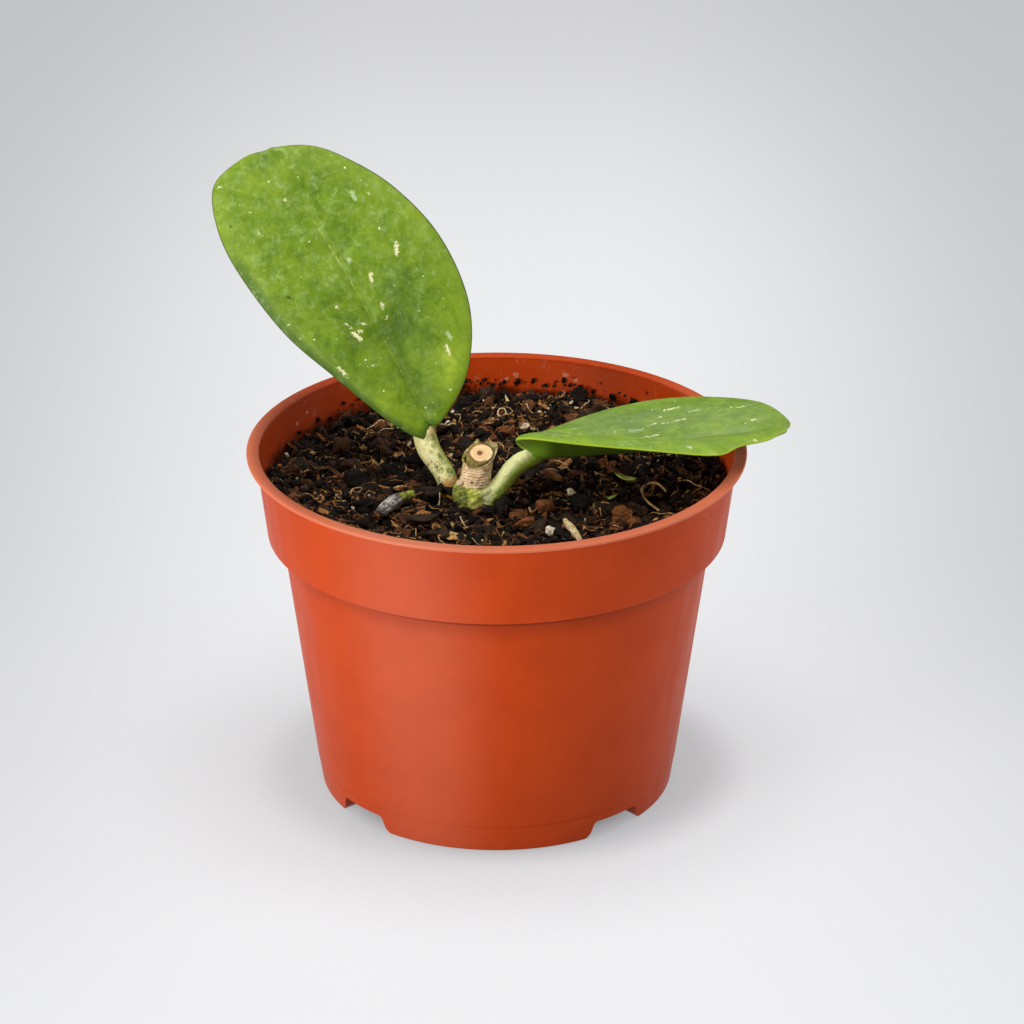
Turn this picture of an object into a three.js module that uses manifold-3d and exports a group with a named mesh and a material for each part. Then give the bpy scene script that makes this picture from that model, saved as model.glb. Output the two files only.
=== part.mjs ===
// A rooted two-leaf hoya cutting in a thin-walled plastic nursery pot.
// Millimetres, +Z up. The origin lies on the pot's axis at floor level, and -Y is the front.
import * as THREE from 'three';
import { mergeVertices } from 'three/addons/utils/BufferGeometryUtils.js';
import Module from 'manifold-3d';

const wasm = await Module();
wasm.setup();

// ---------------------------------------------------------------- driving dimensions

const CLEARANCE = 0.3; // between neighbouring solids

const POT = {
  height: 86.85,
  rimRadius: 60,
  rimInnerRadius: 57,
  rimThickness: 0.8,
  wall: 0.85,
  collarTopRadius: 57.8,
  collarBottomRadius: 55.25,
  collarBottom: 65.9,
  neckRadius: 51.85, // the tapered wall where it meets the collar's ledge
  seamRadius: 43.96,
  seamHeight: 6.95,
  footRadius: 42.85,
  floor: 1.2, // thickness of the bottom
  segments: 60,
};

// The cross of raised channels that parts the foot into four flat quadrants.
const CHANNEL = { width: 13.2, spread: 1, height: 4.6, turn: -3.4 };
const DRAIN = { radius: 3.6, ring: 28, sides: 12 };

const SOIL = { level: 79, rings: 9, sectors: 36, reliefDepth: 0.9, grit: 0.5, chips: 96, seed: 11 };

const STEM = {
  // [x, y, z, radius] from the buried tip to just above the cut
  axis: [
    [-7.4, -14.6, 50, 1.5],
    [-6.9, -14.1, 64, 2.4],
    [-6.3, -13.6, 76.5, 4.1],
    [-5.9, -13.2, 81.5, 3.8],
    [-5.2, -12.7, 86, 3.0],
    [-4.0, -11.9, 93, 2.6],
  ],
  sides: 14,
  cutPoint: [-4.2, -12, 89.8],
  cutTilt: 23, // degrees that the cut face leans to the front
};

// Dry bark that stands round the stump like a torn collar, low in front and high behind.
const BARK = {
  centre: [-5.1, -12.6],
  bottom: 80,
  inner: 3.1,
  outer: 4.1,
  floor: 84.5, // of the gap between the bark and the stump
  front: 86.2, // top of the torn rim, in front and at the back
  back: 91.8,
};

const ROOTS = { count: 5, top: 72, step: 3.2, reach: 27, drop: 26, radius: 1.1, tipRadius: 0.45, seed: 5 };

// [x, y, z, radius] from the node to the underside of the blade
const PETIOLE_LEFT = [
  [-7.6, -12.6, 73.8, 2.4],
  [-9.4, -8.6, 76.2, 2.5],
  [-10.6, -5.6, 78.9, 2.5],
  [-11.6, -4.0, 81.0, 2.45],
  [-13.4, -2.8, 83.8, 2.45],
  [-15.1, -1.8, 86.4, 2.5],
  [-16.4, -0.4, 89.0, 2.9],
  [-17.2, 2.0, 91.9, 2.6],
  [-18.6, 4.4, 95.0, 1.5],
];
const PETIOLE_RIGHT = [
  [-5.2, -14.4, 76.5, 2.6],
  [-2.3, -14.0, 79.0, 2.6],
  [-0.1, -13.0, 81.0, 2.35],
  [1.7, -12.0, 83.2, 2.2],
  [4.0, -10.5, 85.6, 2.2],
  [6.4, -9.5, 87.0, 2.4],
  [9.4, -9.0, 87.3, 2.2],
  [13.0, -8.6, 87.9, 1.4],
];

const BLADE = {
  thickness: 2.0,
  rows: 20,
  columns: [0.16, 0.34, 0.54, 0.74, 0.91, 1], // shares of the half width, midrib to margin
  rib: 0.3, // share of the half width over which the fold turns in at the midrib
};

// A blade is given by its midrib (base, tip and the bow of its middle), the side that it shows, and its roll.
// Each half has its margin as [station, half width], and in degrees from base to tip the fold at the midrib and
// the curl towards the margin.
const LEAF_LEFT = {
  base: [-16.0, 0, 92.5],
  tip: [-54.9, 30, 151.6],
  bow: [0.85, -2, 1.55],
  face: [0.05, -0.93, 0.37],
  roll: [0, 0, 0],
  halves: {
    left: {
      margin: [[0, 0], [-1.5, 1.5], [6, 8], [21.5, 15], [36, 20], [53, 22], [66, 21], [76.5, 16], [78.5, 6.5],
        [76.8, 0]],
      fold: [24, 12, 4],
      curl: [-34, -22, -10],
    },
    right: {
      margin: [[0, 0], [-0.5, 3], [7, 14], [20.5, 22], [37.5, 24], [53.5, 20.5], [66, 14], [72.5, 8.5],
        [76.5, 1.5], [76.8, 0]],
      fold: [22, 10, 4],
      curl: [-12, -14, -10],
    },
  },
};
const LEAF_RIGHT = {
  base: [8.15, -9, 89.1],
  tip: [69.35, -2, 92.35],
  bow: [0, -0.6, -0.4],
  face: [0, 0, 1],
  roll: [7, 3, 0],
  halves: {
    left: {
      margin: [[0, 0], [-3, 6.5], [4.5, 11], [15.5, 17.5], [28.5, 21], [41.5, 20.5], [54, 16], [60, 11],
        [63, 3], [61.7, 0]],
      fold: [43, 29, 19, 14, 10],
      curl: [-44, -31, -15, -7, -4],
    },
    right: {
      margin: [[0, 0], [-4.5, 9.5], [1.5, 15.5], [13.5, 17], [29.5, 20], [41.5, 21], [48, 13.5], [54.5, 12.5],
        [57, 11], [60.5, 5.5], [61.7, 0]],
      fold: [115, 92, 51, 36, 30],
      curl: [-102, -107, -66, -30, 0],
    },
  },
};

// Loose pieces in the top of the soil. at is [x, y], size is [length, width, height], turn and tip are in
// degrees, and rise is how far the middle lies above the soil's surface there.
const LOOSE_CHIPS = [
  { name: 'bark_chip_dark', at: [-15.2, -10.4], size: [5.2, 3.8, 3.2], turn: 20, tip: 10, rise: 0.9,
    colour: 0x35312e },
  { name: 'bark_chip_ridged', at: [-17.1, -28.3], size: [7.4, 4.0, 2.4], turn: 8, tip: -6, rise: 0.8,
    colour: 0x3a2a20 },
  { name: 'coir_chunk_far', at: [11.4, -18.5], size: [4.8, 3.6, 3.4], turn: 55, tip: 12, rise: 0.9,
    colour: 0x6b3220 },
  { name: 'coir_chunk_near', at: [6.6, -26.4], size: [4.2, 3.2, 2.8], turn: 30, tip: -8, rise: 0.8,
    colour: 0x6b3220 },
  { name: 'bark_chip_orange', at: [13.5, -1.2], size: [4.8, 3.2, 2.0], turn: -25, tip: 14, rise: 0.7,
    colour: 0xa05a2c },
  { name: 'leaf_scrap_far', at: [30.8, -0.4], size: [5.4, 2.4, 1.2], turn: -18, tip: 8, rise: 0.6,
    colour: 0x93a83a },
  { name: 'leaf_scrap_near', at: [27.4, -13.8], size: [4.0, 1.8, 1.1], turn: 20, tip: -10, rise: 0.6,
    colour: 0x93a83a },
  { name: 'perlite_grain_right', at: [17.7, -9.7], size: [1.8, 1.6, 1.6], turn: 40, tip: 0, rise: 0.6,
    colour: 0xe4dcc8 },
  { name: 'perlite_grain_back', at: [7.0, 29.8], size: [2.2, 1.9, 1.8], turn: 15, tip: 0, rise: 0.6,
    colour: 0xd8c8a8 },
  { name: 'perlite_grain_front', at: [12.5, -32.8], size: [2.0, 1.7, 1.7], turn: 70, tip: 0, rise: 0.6,
    colour: 0xe4dcc8 },
];

// Loose round sticks: points are [x, y, height of the axis above the soil's surface, radius].
const LOOSE_STICKS = [
  {
    name: 'twig_grey',
    points: [[-27.2, -22.4, 0.9, 1.3], [-24.2, -17.0, 1.2, 1.6], [-20.2, -11.6, 0.8, 1.1]],
    sides: 8,
    colour: 0xa8a49c,
  },
  {
    name: 'wood_splinter',
    points: [[16.0, -27.6, 0.7, 0.6], [17.8, -32.6, 0.6, 0.9], [19.6, -37.4, 0.2, 0.55]],
    sides: 6,
    colour: 0xc8a878,
  },
  {
    name: 'root_curl',
    points: [[40.4, -9.4, 0.5, 0.45], [38.4, -6.6, 1.2, 0.5], [35.2, -8.0, 1.1, 0.5], [35.0, -14.0, 0.9, 0.5],
      [38.4, -20.8, 0.4, 0.45]],
    sides: 6,
    colour: 0xb09468,
  },
];

const COLOURS = { pot: 0xc4502a, soil: 0x2c201a, stem: 0xa89a70, petiole: 0xa8b070, leaf: 0x6f9a2c };

// ---------------------------------------------------------------- helpers

const vector = ([x, y, z]) => new THREE.Vector3(x, y, z);

/** Repeatable random numbers from 0 to 1 (a small xorshift). */
function randomFrom(seed) {
  let state = seed * 2654435761 >>> 0 || 1;
  return () => {
    state ^= state << 13;
    state ^= state >>> 17;
    state ^= state << 5;
    state >>>= 0;
    return state / 4294967296;
  };
}

/** A solid for joining and cutting, made from a closed geometry. */
function solid(geometry) {
  const bare = geometry.clone();
  bare.deleteAttribute('normal');
  bare.deleteAttribute('uv');
  const merged = mergeVertices(bare, 1e-4);
  const place = merged.getAttribute('position').array;
  const corners = merged.index.array;
  const kept = [];
  let volume = 0;
  const at = (i) => new THREE.Vector3(place[3 * i], place[3 * i + 1], place[3 * i + 2]);
  for (let i = 0; i < corners.length; i += 3) {
    const [a, b, c] = corners.slice(i, i + 3);
    if (a === b || b === c || c === a) continue;
    kept.push([a, b, c]);
    volume += at(a).dot(at(b).cross(at(c)));
  }
  const order = volume > 0 ? [0, 1, 2] : [0, 2, 1];
  const triVerts = new Uint32Array(kept.flatMap((triangle) => order.map((k) => triangle[k])));
  return new wasm.Manifold(new wasm.Mesh({ numProp: 3, vertProperties: new Float32Array(place), triVerts }));
}

/** The geometry of a solid after joins and cuts. */
function shapeOf(manifold) {
  const mesh = manifold.getMesh();
  const geometry = new THREE.BufferGeometry();
  geometry.setAttribute('position', new THREE.BufferAttribute(mesh.vertProperties, 3));
  geometry.setIndex(new THREE.BufferAttribute(mesh.triVerts, 1));
  geometry.computeVertexNormals();
  return geometry;
}

/** Keeps the biggest body where a cut leaves crumbs. */
function mainBody(manifold) {
  return manifold.decompose().reduce((best, body) => (body.volume() > best.volume() ? body : best));
}

/** A profile of [radius, height] pairs turned round the pot's axis. */
function turned(profile, segments = POT.segments) {
  const outline = profile.map(([radius, height]) => new THREE.Vector2(radius, height));
  return new THREE.LatheGeometry(outline, segments).rotateX(Math.PI / 2);
}

/** A closed surface of rings, all with the same number of points, with a fan over each end. */
function ringed(rings) {
  const places = rings.flat().flatMap((p) => [p.x, p.y, p.z]);
  const around = rings[0].length;
  const index = [];
  for (let i = 0; i + 1 < rings.length; i += 1) {
    for (let j = 0; j < around; j += 1) {
      const a = i * around + j;
      const b = i * around + (j + 1) % around;
      index.push(a, b, a + around, b, b + around, a + around);
    }
  }
  for (const [ring, flip] of [[0, true], [rings.length - 1, false]]) {
    const centre = rings[ring].reduce((sum, p) => sum.add(p), new THREE.Vector3()).divideScalar(around);
    const hub = places.length / 3;
    places.push(centre.x, centre.y, centre.z);
    for (let j = 0; j < around; j += 1) {
      const a = ring * around + j;
      const b = ring * around + (j + 1) % around;
      index.push(...(flip ? [b, a, hub] : [a, b, hub]));
    }
  }
  const geometry = new THREE.BufferGeometry();
  geometry.setAttribute('position', new THREE.Float32BufferAttribute(places, 3));
  geometry.setIndex(index);
  return geometry;
}

/** A round tube through points of [x, y, z, radius], made thicker and longer by grow. */
function tube(points, sides, grow = 0, steps = 3) {
  const curve = new THREE.CatmullRomCurve3(points.map(vector));
  const count = (points.length - 1) * steps;
  const frames = curve.computeFrenetFrames(count, false);
  const rings = [];
  for (let i = 0; i <= count; i += 1) {
    const t = i / count;
    const at = curve.getPoint(t);
    const slot = Math.min(Math.floor(t * (points.length - 1)), points.length - 2);
    const share = t * (points.length - 1) - slot;
    const radius = THREE.MathUtils.lerp(points[slot][3], points[slot + 1][3], share) + grow;
    const end = i === 0 ? -grow : (i === count ? grow : 0);
    at.addScaledVector(frames.tangents[i], end);
    const ring = [];
    for (let j = 0; j < sides; j += 1) {
      const angle = (2 * Math.PI * j) / sides;
      ring.push(at.clone()
        .addScaledVector(frames.normals[i], radius * Math.cos(angle))
        .addScaledVector(frames.binormals[i], radius * Math.sin(angle)));
    }
    rings.push(ring);
  }
  return ringed(rings);
}

// ---------------------------------------------------------------- pot

/** Outer outline of the pot as one filled body, floor to rim. */
function potOutside() {
  return turned([
    [0, 0],
    [POT.footRadius, 0],
    [POT.seamRadius, POT.seamHeight],
    [POT.neckRadius, POT.collarBottom],
    [POT.collarBottomRadius, POT.collarBottom],
    [POT.collarTopRadius, POT.height - POT.rimThickness],
    [POT.rimRadius, POT.height - POT.rimThickness],
    [POT.rimRadius, POT.height],
    [0, POT.height],
  ]);
}

/** The room inside the pot, drawn in by gap and open to well above the rim. */
function potInside(gap) {
  const inset = POT.wall + gap;
  const ledge = POT.collarBottom + POT.wall + gap;
  const slope = (POT.neckRadius - POT.seamRadius) / (POT.collarBottom - POT.seamHeight);
  return turned([
    [0, POT.floor + gap],
    [POT.footRadius - 1.6 - gap, POT.floor + gap],
    [POT.seamRadius - inset, POT.seamHeight + gap],
    [POT.neckRadius + slope * (POT.wall + gap) - inset, ledge],
    [POT.collarBottomRadius - inset, ledge],
    [POT.rimInnerRadius - gap, POT.height - POT.rimThickness],
    [POT.rimInnerRadius - gap, POT.height + 12],
    [0, POT.height + 12],
  ]);
}

/** The cross of channels under the floor, made wider and higher by grow. */
function channels(grow) {
  const half = CHANNEL.width / 2 + grow;
  const reach = POT.rimRadius;
  const top = CHANNEL.height + grow;
  const outline = new THREE.Shape([
    new THREE.Vector2(-half - CHANNEL.spread, -1),
    new THREE.Vector2(half + CHANNEL.spread, -1),
    new THREE.Vector2(half, top),
    new THREE.Vector2(-half, top),
  ]);
  const arms = [45, 135].map((azimuth) => solid(
    new THREE.ExtrudeGeometry(outline, { depth: 2 * reach, bevelEnabled: false })
      .translate(0, 0, -reach)
      .rotateX(Math.PI / 2)
      .rotateZ(THREE.MathUtils.degToRad(azimuth + CHANNEL.turn)),
  ));
  return arms[0].add(arms[1]);
}

function drainHoles() {
  const hole = (x, y) => solid(new THREE.CylinderGeometry(DRAIN.radius, DRAIN.radius, 8, DRAIN.sides)
    .rotateX(Math.PI / 2)
    .translate(x, y, CHANNEL.height + 1));
  let holes = hole(0, 0);
  for (let k = 0; k < 4; k += 1) {
    const angle = THREE.MathUtils.degToRad(-45 + CHANNEL.turn + 90 * k);
    holes = holes.add(hole(DRAIN.ring * Math.cos(angle), DRAIN.ring * Math.sin(angle)));
  }
  return holes;
}

function makePot() {
  const room = solid(potInside(0)).subtract(channels(POT.floor));
  return mainBody(solid(potOutside()).subtract(channels(0)).subtract(room).subtract(drainHoles()));
}

// ---------------------------------------------------------------- stem, roots and petioles

/** Torn rim of the dry bark, by angle from the front. */
function barkTop(angle, random) {
  const behind = (1 - Math.cos(angle)) / 2;
  return THREE.MathUtils.lerp(BARK.front, BARK.back, behind) + 0.9 * (random() - 0.5);
}

function barkCollar(grow) {
  const random = randomFrom(3);
  const around = 14;
  const rings = [[], [], [], []];
  for (let k = 0; k < around; k += 1) {
    const angle = (2 * Math.PI * k) / around;
    const top = barkTop(angle, random) + grow;
    const spot = (radius, z) => new THREE.Vector3(
      BARK.centre[0] + radius * Math.sin(angle),
      BARK.centre[1] - radius * Math.cos(angle),
      z,
    );
    rings[0].push(spot(BARK.outer - 0.3 + grow, BARK.bottom - grow));
    rings[1].push(spot(BARK.outer + grow, top));
    rings[2].push(spot(BARK.inner + 0.35 - grow, top - 0.1));
    rings[3].push(spot(BARK.inner - grow, BARK.floor));
  }
  return solid(ringed(rings));
}

/** The half space above the sloping cut. */
function aboveCut() {
  return solid(new THREE.BoxGeometry(9, 9, 12)
    .translate(0, 0, 6)
    .rotateX(THREE.MathUtils.degToRad(STEM.cutTilt))
    .translate(...STEM.cutPoint));
}

function makeRoots(grow) {
  const random = randomFrom(ROOTS.seed);
  return Array.from({ length: ROOTS.count }, (_, k) => {
    const azimuth = (2 * Math.PI * (k + 0.5 * random())) / ROOTS.count;
    const z = ROOTS.top - ROOTS.step * k;
    const along = (share, sink) => [
      -7 + ROOTS.reach * share * Math.cos(azimuth + 0.5 * share),
      -14 + ROOTS.reach * share * Math.sin(azimuth + 0.5 * share),
      z - sink,
    ];
    const drop = ROOTS.drop * (0.8 + 0.4 * random());
    return solid(tube([
      [...along(0, 0), ROOTS.radius],
      [...along(0.4, 0.25 * drop), ROOTS.radius],
      [...along(0.75, 0.6 * drop), 0.7 * ROOTS.radius],
      [...along(1, drop), ROOTS.tipRadius],
    ], 6, grow, 2));
  });
}

/** The stem with its roots, made thicker by grow. */
function stemWithRoots(grow) {
  const stalk = solid(tube(STEM.axis, STEM.sides, grow, 2));
  return makeRoots(grow).reduce((body, root) => body.add(root), stalk);
}

const stemRoom = stemWithRoots(CLEARANCE).add(barkCollar(CLEARANCE));

function makeStem() {
  return mainBody(stemWithRoots(0).subtract(aboveCut()).add(barkCollar(0)));
}

// ---------------------------------------------------------------- leaves

/** Value at share u along an evenly spaced list of numbers, on a Catmull-Rom curve. */
function along(values, u) {
  const last = values.length - 1;
  const slot = Math.min(Math.floor(u * last), last - 1);
  const t = u * last - slot;
  const before = slot > 0 ? values[slot - 1] : 2 * values[0] - values[1];
  const after = slot + 2 <= last ? values[slot + 2] : 2 * values[last] - values[last - 1];
  const [b, c] = [values[slot], values[slot + 1]];
  return 0.5 * (2 * b + (c - before) * t + (2 * before - 5 * b + 4 * c - after) * t * t
    + (3 * b - before - 3 * c + after) * t * t * t);
}

/** Place and axes on the midrib at a station, as a share of its length. */
function midribFrame(leaf, share) {
  const base = vector(leaf.base);
  const chord = vector(leaf.tip).sub(base);
  const bow = vector(leaf.bow);
  const at = base.clone().addScaledVector(chord, share).addScaledVector(bow, 4 * share * (1 - share));
  const forward = chord.clone().addScaledVector(bow, 4 * (1 - 2 * share)).normalize();
  const face = vector(leaf.face);
  face.addScaledVector(forward, -face.dot(forward)).normalize();
  const aside = forward.clone().cross(face);
  const roll = THREE.MathUtils.degToRad(along(leaf.roll, THREE.MathUtils.clamp(share, 0, 1)));
  return {
    at,
    aside: aside.clone().multiplyScalar(Math.cos(roll)).addScaledVector(face, Math.sin(roll)),
    face: face.clone().multiplyScalar(Math.cos(roll)).addScaledVector(aside, -Math.sin(roll)),
  };
}

/** A point of the blade at share u of its length and v of a half's width, raised by lift off the middle. */
function bladePoint(leaf, sign, u, v, lift) {
  const half = sign > 0 ? leaf.halves.right : leaf.halves.left;
  const length = vector(leaf.tip).distanceTo(vector(leaf.base));
  const width = along(half.margin.map((m) => m[1]), u);
  const rib = length * (1 - Math.cos(Math.PI * u)) / 2;
  const station = rib + (along(half.margin.map((m) => m[0]), u) - rib) * v ** 1.5;
  const fold = THREE.MathUtils.degToRad(along(half.fold, u));
  const curl = THREE.MathUtils.degToRad(along(half.curl, u));
  const lean = (share) => fold * THREE.MathUtils.smoothstep(share, 0, BLADE.rib) + curl * share;
  const slices = 24;
  let across = 0;
  let rise = 0;
  for (let k = 0; k < slices; k += 1) {
    const angle = lean(v * (k + 0.5) / slices);
    across += Math.cos(angle) * v / slices;
    rise += Math.sin(angle) * v / slices;
  }
  const frame = midribFrame(leaf, station / length);
  const angle = lean(v);
  return frame.at
    .addScaledVector(frame.aside, sign * (width * across - lift * Math.sin(angle)))
    .addScaledVector(frame.face, width * rise + lift * Math.cos(angle));
}

/** One closed blade with rounded margins. Its two faces are split into triangles alike. */
function blade(leaf, thickness) {
  const shares = [...BLADE.columns.slice().reverse().map((v) => -v), 0, ...BLADE.columns];
  const places = [];
  const add = (p) => {
    places.push(p.x, p.y, p.z);
    return places.length / 3 - 1;
  };
  const base = add(bladePoint(leaf, 1, 0, 0, 0));
  const upper = [];
  const lower = [];
  for (let i = 1; i < BLADE.rows; i += 1) {
    const u = i / BLADE.rows;
    const taper = Math.sqrt(Math.min(1, Math.sin(Math.PI * u) / 0.5));
    upper.push([]);
    lower.push([]);
    for (const share of shares) {
      const v = Math.abs(share);
      const sign = share < 0 ? -1 : 1;
      const lift = 0.5 * thickness * taper * Math.sqrt(1 - v ** 4);
      const top = add(bladePoint(leaf, sign, u, v, lift));
      upper.at(-1).push(top);
      lower.at(-1).push(v === 1 ? top : add(bladePoint(leaf, sign, u, v, -lift)));
    }
  }
  const tip = add(bladePoint(leaf, 1, 1, 0, 0));
  const index = [];
  for (const [sheet, flip] of [[upper, false], [lower, true]]) {
    const triangle = (a, b, c) => index.push(...(flip ? [a, c, b] : [a, b, c]));
    for (let j = 0; j + 1 < shares.length; j += 1) {
      triangle(base, sheet[0][j], sheet[0][j + 1]);
      triangle(tip, sheet.at(-1)[j + 1], sheet.at(-1)[j]);
      for (let i = 0; i + 1 < sheet.length; i += 1) {
        const [a, b, c, d] = [sheet[i][j], sheet[i][j + 1], sheet[i + 1][j + 1], sheet[i + 1][j]];
        triangle(a, c, b);
        triangle(a, d, c);
      }
    }
  }
  const geometry = new THREE.BufferGeometry();
  geometry.setAttribute('position', new THREE.Float32BufferAttribute(places, 3));
  geometry.setIndex(index);
  return geometry;
}

function makePetiole(points, leaf) {
  const room = solid(blade(leaf, BLADE.thickness + 2 * CLEARANCE));
  return mainBody(solid(tube(points, 10, 0, 2)).subtract(stemRoom).subtract(room));
}

// ---------------------------------------------------------------- soil and what lies in it

/** Height of the soil's surface: a gentle heave that climbs towards the back wall. */
function soilHeight(x, y) {
  const heave = Math.sin(0.11 * x + 1.3) * Math.cos(0.09 * y - 0.4) + 0.6 * Math.sin(0.21 * x - 0.17 * y);
  const back = 1.6 * THREE.MathUtils.smoothstep(y, 30, 55) * THREE.MathUtils.smoothstep(x, -15, 15);
  return SOIL.level + 0.5 * SOIL.reliefDepth * heave + back;
}

/** The body of the soil, before chips, as a block wider than the pot with the surface on top. */
function soilBlock() {
  const random = randomFrom(SOIL.seed);
  const rings = [];
  const ringAt = (radius, height) => Array.from({ length: SOIL.sectors }, (_, k) => {
    const angle = (2 * Math.PI * k) / SOIL.sectors;
    const [x, y] = [radius * Math.cos(angle), radius * Math.sin(angle)];
    return new THREE.Vector3(x, y, height(x, y));
  });
  rings.push(ringAt(POT.rimRadius, () => -2));
  rings.push(ringAt(POT.rimRadius, soilHeight));
  for (let i = SOIL.rings; i > 0; i -= 1) {
    const grit = () => SOIL.grit * 2 * (random() - 0.5);
    rings.push(ringAt((56 * i) / SOIL.rings, (x, y) => soilHeight(x, y) + grit()));
  }
  return solid(ringed(rings));
}

/** An uneven chip with its middle at a spot; grow widens it on every side. */
function chip(at, size, turn, tip, seed, grow) {
  const random = randomFrom(seed);
  const geometry = mergeVertices(new THREE.BoxGeometry(1, 1, 1).deleteAttribute('normal')
    .deleteAttribute('uv'));
  const place = geometry.getAttribute('position');
  for (let i = 0; i < place.count; i += 1) {
    const corner = new THREE.Vector3().fromBufferAttribute(place, i);
    const scale = () => 0.8 + 0.35 * random();
    place.setXYZ(
      i,
      corner.x * (size[0] * scale() + 2 * grow),
      corner.y * (size[1] * scale() + 2 * grow),
      corner.z * (size[2] * scale() + 2 * grow),
    );
  }
  geometry.rotateY(THREE.MathUtils.degToRad(tip)).rotateZ(THREE.MathUtils.degToRad(turn));
  return solid(geometry.translate(...at));
}

/** The seeded chips and clods that stand in the surface. */
function surfaceChips() {
  const random = randomFrom(SOIL.seed + 1);
  const chips = [];
  for (let k = 0; k < SOIL.chips; k += 1) {
    const radius = 55 * Math.sqrt((k + random()) / SOIL.chips);
    const angle = k * Math.PI * (3 - Math.sqrt(5)) + 0.6 * random();
    const [x, y] = [radius * Math.cos(angle), radius * Math.sin(angle)];
    const length = 3 + 4.5 * random() ** 2;
    const size = [length, length * (0.5 + 0.35 * random()), length * (0.35 + 0.35 * random())];
    const z = soilHeight(x, y) + 0.12 * size[2];
    chips.push(chip([x, y, z], size, 360 * random(), 50 * (random() - 0.5), 40 + k, 0));
  }
  return chips;
}

function looseChip(piece, number, grow) {
  const [x, y] = piece.at;
  return chip([x, y, soilHeight(x, y) + piece.rise], piece.size, piece.turn, piece.tip, 200 + number, grow);
}

function looseStick(piece, grow) {
  const points = piece.points.map(([x, y, height, radius]) => [x, y, soilHeight(x, y) + height, radius]);
  return solid(tube(points, piece.sides, grow, 3));
}

function makeSoil(rooms) {
  const fill = solid(potInside(CLEARANCE)).subtract(channels(POT.floor + CLEARANCE));
  const heap = surfaceChips().reduce((body, piece) => body.add(piece), soilBlock());
  return mainBody(rooms.reduce((body, room) => body.subtract(room), heap.intersect(fill)));
}

// ---------------------------------------------------------------- the whole plant

function finish(colour, roughness) {
  return new THREE.MeshStandardMaterial({ color: colour, roughness, metalness: 0 });
}

const group = new THREE.Group();

function addPart(name, manifold, material) {
  const mesh = new THREE.Mesh(shapeOf(manifold), material);
  mesh.name = name;
  group.add(mesh);
}

const looseSolids = [
  ...LOOSE_CHIPS.map((piece, number) => ({ piece, make: (grow) => looseChip(piece, number, grow) })),
  ...LOOSE_STICKS.map((piece) => ({ piece, make: (grow) => looseStick(piece, grow) })),
];
const rooms = [
  stemRoom,
  solid(tube(PETIOLE_LEFT, 10, CLEARANCE, 2)),
  solid(tube(PETIOLE_RIGHT, 10, CLEARANCE, 2)),
  ...looseSolids.map(({ make }) => make(CLEARANCE)),
];

addPart('pot', makePot(), finish(COLOURS.pot, 0.5));
addPart('soil', makeSoil(rooms), finish(COLOURS.soil, 0.95));
addPart('stem', makeStem(), finish(COLOURS.stem, 0.8));
addPart('petiole_left', makePetiole(PETIOLE_LEFT, LEAF_LEFT), finish(COLOURS.petiole, 0.5));
addPart('petiole_right', makePetiole(PETIOLE_RIGHT, LEAF_RIGHT), finish(COLOURS.petiole, 0.5));
addPart('leaf_left', solid(blade(LEAF_LEFT, BLADE.thickness)), finish(COLOURS.leaf, 0.35));
addPart('leaf_right', solid(blade(LEAF_RIGHT, BLADE.thickness)), finish(COLOURS.leaf, 0.35));
for (const { piece, make } of looseSolids) {
  addPart(piece.name, make(0), finish(piece.colour, 0.9));
}

export default group;
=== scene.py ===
"""Looks of a potted hoya cutting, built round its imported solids. Metres, +Z up, and -Y is the front."""

import logging
import math
from dataclasses import dataclass, field
from enum import Enum
from typing import Callable

import bpy
import numpy as np
from mathutils import Matrix, Vector


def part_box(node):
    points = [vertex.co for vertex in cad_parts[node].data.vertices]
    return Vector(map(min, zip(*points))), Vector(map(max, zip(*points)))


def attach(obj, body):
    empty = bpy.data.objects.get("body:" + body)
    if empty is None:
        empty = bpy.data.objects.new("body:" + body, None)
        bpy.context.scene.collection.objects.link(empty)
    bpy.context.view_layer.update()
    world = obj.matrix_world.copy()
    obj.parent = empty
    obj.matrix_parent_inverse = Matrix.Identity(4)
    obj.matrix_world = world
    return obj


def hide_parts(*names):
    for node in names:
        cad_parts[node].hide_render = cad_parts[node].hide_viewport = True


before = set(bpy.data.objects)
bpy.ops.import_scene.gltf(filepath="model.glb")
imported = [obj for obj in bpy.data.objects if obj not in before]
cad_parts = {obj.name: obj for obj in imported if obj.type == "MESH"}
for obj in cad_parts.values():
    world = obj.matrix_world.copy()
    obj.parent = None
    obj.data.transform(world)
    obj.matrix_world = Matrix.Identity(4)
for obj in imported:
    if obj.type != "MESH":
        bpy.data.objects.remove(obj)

Array = np.ndarray
Colour = tuple[float, float, float, float]
Socket = bpy.types.NodeSocket
Piece = bpy.types.Object
Pair = tuple[float, float]
Point = tuple[float, float, float]
Bead = tuple[float, float, float, float]  # a place and a reach or radius there
Lobe = tuple[float, float, float, float, float, float]  # middle and half sizes of an egg-shaped swelling

MM = 0.001
LOG = logging.getLogger("potted_hoya")


def metres(*lengths: float) -> tuple[float, ...]:
    """Lengths in millimetres, given in metres."""
    return tuple(length * MM for length in lengths)


# ---------------------------------------------------------------- numbers and curves


def srgb(red: int, green: int, blue: int) -> Colour:
    """Linear colour of a screen colour given from 0 to 255.

    Args:
        red: Red part.
        green: Green part.
        blue: Blue part.

    Returns:
        The linear colour with full alpha.
    """
    def linear(part: int) -> float:
        """One part of the colour."""
        share = part / 255
        return share / 12.92 if share <= 0.04045 else ((share + 0.055) / 1.055) ** 2.4

    return linear(red), linear(green), linear(blue), 1.0


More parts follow.
